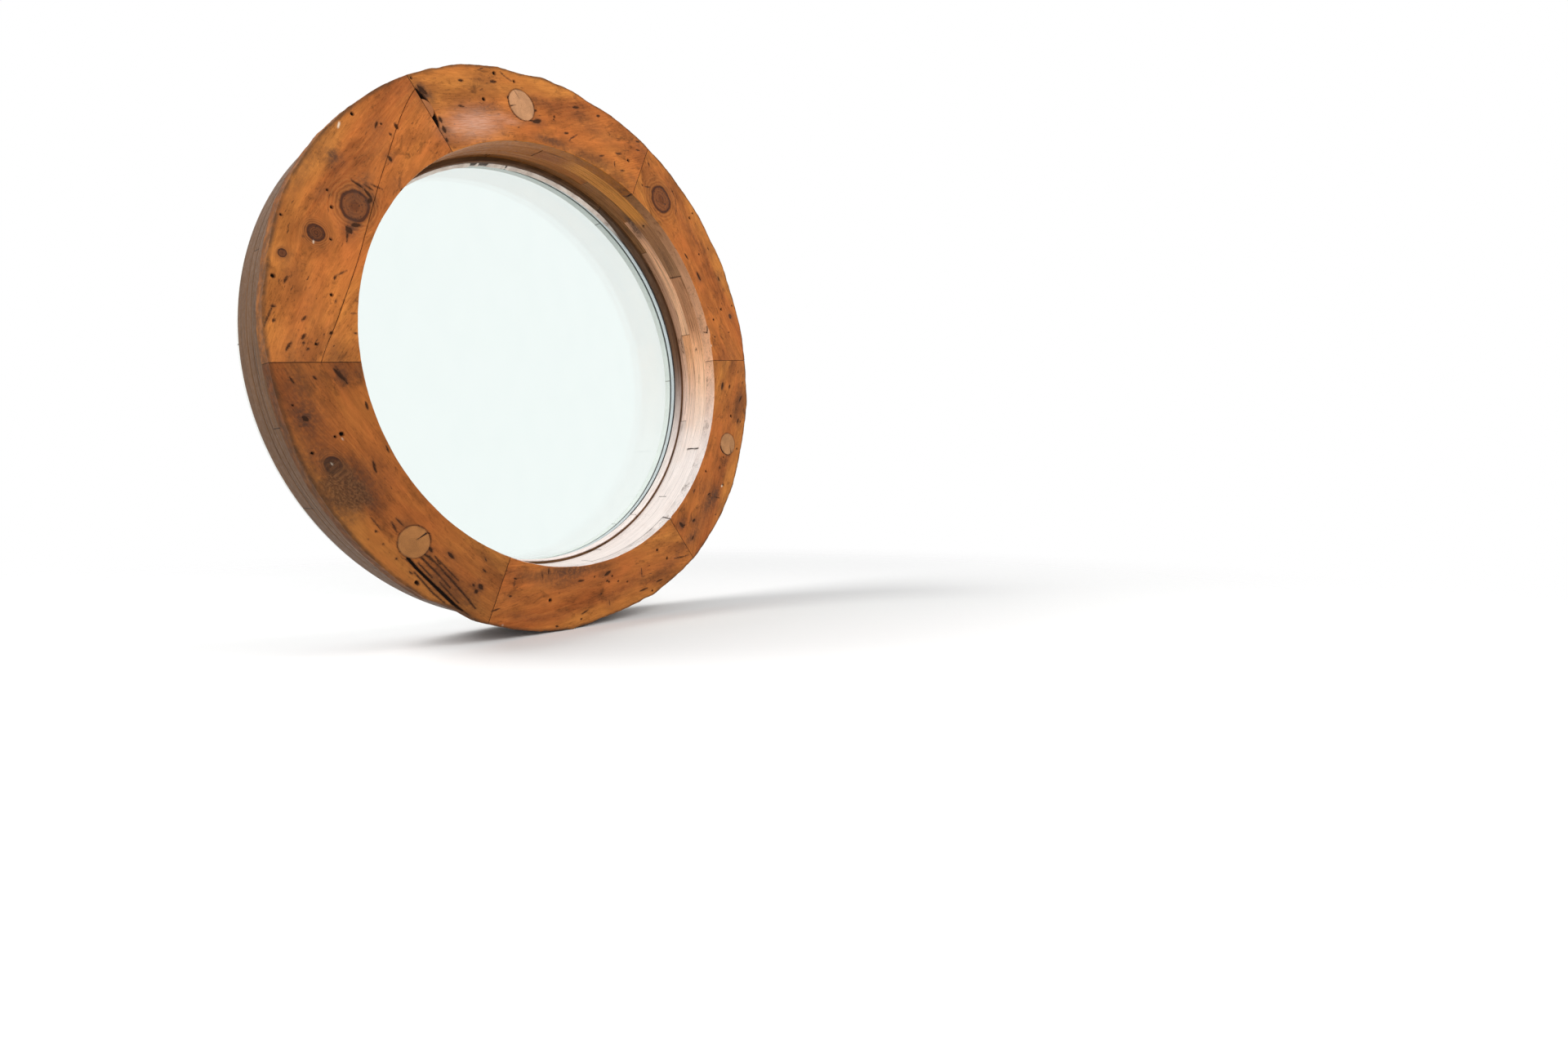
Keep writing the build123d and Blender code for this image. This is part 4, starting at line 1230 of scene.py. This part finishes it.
def metal_bar(name):
    """Spacer bar of the sealed unit: satin metal with rolled lines, dusty."""
    s = new_material(name)
    where = s.object()
    line = s.math("SINE", s.mul(s.parts(where)[1], 1900.0))
    dust = s.noise(where, 40.0, 3.0, 0.6)
    s.colour = s.mix(s.ease(line, 0.1, 0.9), "bar", "bar line")
    s.cover("bar dust", s.ease(dust, 0.45, 0.7, 0.0, 0.35))
    s.lift(line, -1.0)
    return s.surface(s.ease(dust, 0.3, 0.7, 0.30, 0.48), 0.0004, 0.5, Metallic=0.35)


def rubber(name, colour, rough):
    """Black sealing strip and blocks: matt, a little dusty."""
    s = new_material(name)
    where = s.object()
    broad = s.noise(where, 30.0, 3.0)
    dusty = tuple(channel * 2.6 + 0.01 for channel in colour)
    s.colour = s.mix(s.ease(broad, 0.4, 0.75, 0.0, 0.6), colour, dusty)
    s.lift(s.noise(where, 500.0))
    return s.surface(s.ease(broad, 0.3, 0.7, rough - 0.08, rough + 0.12), 0.0002, 0.4)


def casing_paint(name):
    """White outdoor paint on boards: brush lines round the ring, dirt in the joints, a few dark specks."""
    s = new_material(name)
    where = s.object()
    x, y, z = s.parts(where)
    away = s.math("SQRT", s.add(s.mul(x, x), s.mul(z, z)))
    polar = (s.mul(s.math("ARCTAN2", z, x), 9.0), s.mul(away, 700.0), s.mul(y, 700.0))
    brush = s.noise(s.made_from(s.node("ShaderNodeCombineXYZ"), polar), 1.0)
    broad, fine = s.noise(where, 12.0, 4.0, 0.6), s.noise(where, 160.0, 3.0, 0.6)
    joint = s.attribute("joint")
    s.colour = s.mix(s.ease(broad, 0.40, 0.72, 0.0, 0.55), "paint", "paint grey")
    s.cover("paint speck", s.ease(fine, 0.64, 0.74, 0.0, 0.5))
    s.cover("paint joint", s.ease(joint, 0.3, 0.9, 0.0, 0.85))
    for noise, amount in ((brush, 0.8), (fine, 0.3), (joint, -1.0)):
        s.lift(noise, amount)
    return s.surface(s.ease(broad, 0.3, 0.7, 0.40, 0.56), 0.0004, 0.6, Specular_IOR_Level=0.2)


def pane_glass(name):
    """Clear float glass: mostly seen through, with a faint green and a clean reflection."""
    s = new_material(name)
    haze = s.ease(s.drawn(s.object(), (22, 22, 8.8), 3.0, 0.6), 0.35, 0.75)
    through = s.shader("ShaderNodeBsdfTransparent", Color=s.mix(haze, "glass", "glass haze"))
    shine = s.shader("ShaderNodeBsdfGlossy", Color="glass shine", Roughness=0.01)
    facing = s.node("ShaderNodeLayerWeight").outputs["Facing"]
    reflected = s.add(0.035, s.mul(s.math("POWER", facing, 5.0), 0.75))
    return s.finish(s.join(reflected, through, shine))


def floor_white(name):
    """White floor that fades out before its edge."""
    s = new_material(name)
    away = s.node("ShaderNodeVectorMath", operation="LENGTH")
    s.put(s.object(), away.inputs[0])
    dull, clear = s.shader("ShaderNodeBsdfDiffuse", Color="floor"), s.shader("ShaderNodeBsdfTransparent")
    return s.finish(s.join(s.ease(away.outputs["Value"], *FLOOR_FADE), dull, clear))


def studio_light(name):
    """World: white where it is seen or reflected, a softer light on everything else."""
    s = Shader(bpy.data.worlds.new(name), "ShaderNodeOutputWorld")
    path = s.node("ShaderNodeLightPath").outputs
    seen = s.math("MAXIMUM", path["Is Camera Ray"], path["Is Glossy Ray"])
    seen = s.math("MAXIMUM", seen, path["Is Transmission Ray"])
    soft = s.shader("ShaderNodeBackground", Color="soft light", Strength=SOFT_LIGHT)
    white = s.shader("ShaderNodeBackground", Color="white", Strength=1.0)
    return s.finish(s.join(seen, soft, white))


# Building
face_pine = pine("old_face_pine", 0.0052, True)
bore_pine = pine("layered_pine", 0.0040, False)
stop_pine = pine("dark_stop_pine", 0.0036, False)
peg_wood = end_grain("peg_end_grain")
filler_wood = end_grain("knot_filler_wood", False)
bar_metal = metal_bar("spacer_metal")
seal_rubber = rubber("black_seal", (0.020, 0.020, 0.022), 0.62)
block_rubber = rubber("block_rubber", (0.040, 0.040, 0.042), 0.55)
glass = pane_glass("clear_glass")

# Rings behind the face, from the room outwards
LAYER = {
    "boards": 6, "inner": BORE, "outer": BODY, "step": 4, "corners": (0.7, 0.5, 1.0, 1.0), "uneven": 0.55,
    "gap": 0.25, "material": bore_pine, "slot": "layer_pine",
}
RINGS = (
    Ring(name="second_layer_segment", joint=38.5, front=0.0, back=SECOND_END, seed=40, **LAYER),
    Ring(name="third_layer_segment", joint=19.0, front=SECOND_END, back=THIRD_END, seed=50, **LAYER),
    Ring(name="fourth_layer_segment", joint=49.0, front=THIRD_END, back=FOURTH_END, seed=60, **LAYER),
    Ring(
        name="back_layer_segment", boards=6, joint=34.0, inner=REBATE, outer=BODY, front=FOURTH_END,
        back=CASING_FRONT, step=6, corners=(0.5, 0.5, 1.0, 1.5), uneven=0.3, gap=0.2, seed=80,
        material=bore_pine, slot="hidden_pine"),
    Ring(
        name="inner_stop", boards=3, joint=69.0, inner=STOP_SIGHT, outer=REBATE, front=STOP_FRONT,
        back=STOP_BACK, step=3, corners=(4.0, 0.5, 0.5, 0.5), uneven=0.35, gap=0.35, seed=95,
        material=stop_pine, slot="stop_wood"),
    Ring(
        name="outer_casing", boards=6, joint=4.0, inner=CASING_BORE, outer=CASING_RIM, front=CASING_FRONT,
        back=CASING_BACK, step=5, corners=(0.5, 3.0, 0.5, 3.0), uneven=0.25, gap=0.5, seed=120,
        material=casing_paint("white_casing_paint"), slot="casing_paint"),
)

for number in range(1, 7):
    for part in ("_outer", "_inner") if number == SPLIT_NUMBER else ("",):
        face_board(number, part, face_pine)
for ring in RINGS:
    for number in range(1, ring.boards + 1):
        ring_board(ring, number)
for number in range(1, len(PEGS) + 1):
    peg_piece(number, peg_wood)
putty_bead(putty("old_putty"))

# Solids whose shape is already right keep it and get their finish here
FINISHES = {
    "knot_filler": filler_wood, "inner_pane": glass, "outer_pane": glass, "spacer_bar": bar_metal,
    "edge_seal": seal_rubber, "inner_glazing_tape": seal_rubber, "outer_glazing_tape": seal_rubber,
    "setting_block_1": block_rubber, "setting_block_2": block_rubber,
}
for node, material in FINISHES.items():
    NODES[node].data.materials.clear()
    NODES[node].data.materials.append(material)

# Stage, light and camera
scene = bpy.context.scene
floor_mesh = bpy.data.meshes.new("floor")
corners = [(x * FLOOR_REACH, y * FLOOR_REACH, 0) for x, y in ((-1, -1), (1, -1), (1, 1), (-1, 1))]
floor_mesh.from_pydata(corners, [], [(0, 1, 2, 3)])
floor_mesh.materials.append(floor_white("floor_white"))
floor = bpy.data.objects.new("floor", floor_mesh)
bpy.context.collection.objects.link(floor)
floor.location = (0.0, 0.0, cad_low.z - MM)
scene.world = studio_light("studio")


def soft_lamp(name, spot, target, size, power, colour):
    """Square softbox that looks at a point."""
    data = bpy.data.lights.new(name, "AREA")
    data.shape = "SQUARE"
    data.size = size
    data.energy = power
    data.color = colour
    lamp = bpy.data.objects.new(name, data)
    bpy.context.collection.objects.link(lamp)
    lamp.location = spot
    lamp.rotation_euler = (Vector(target) - Vector(spot)).to_track_quat("-Z", "Y").to_euler()
    lamp.visible_glossy = False


soft_lamp("room_key", (1.3, -3.4, 2.3), (0.0, 0.0, 0.0), 2.6, 102.0, (1.0, 0.985, 0.96))
soft_lamp("room_fill", (-2.8, -2.6, 0.6), (0.0, 0.0, 0.0), 2.2, 34.0, (1.0, 1.0, 1.0))
soft_lamp("daylight", (-3.9, 2.3, 4.0), (0.30, 0.05, -0.20), 3.0, 320.0, (1.0, 0.99, 0.98))

# Where the photographer stood, as solved from the straight lines of the room
camera_data = bpy.data.cameras.new("camera")
camera = bpy.data.objects.new("camera", camera_data)
bpy.context.collection.objects.link(camera)
scene.camera = camera
camera.location = (-1.1145, -1.477, -0.3374)
camera.rotation_euler = (math.pi / 2, 0.0, -math.radians(53.6))
camera_data.sensor_width = 36.0
camera_data.lens = 16.63
camera_data.shift_y = -0.0141
camera_data.clip_start = 0.02
scene.view_settings.view_transform = "Standard"
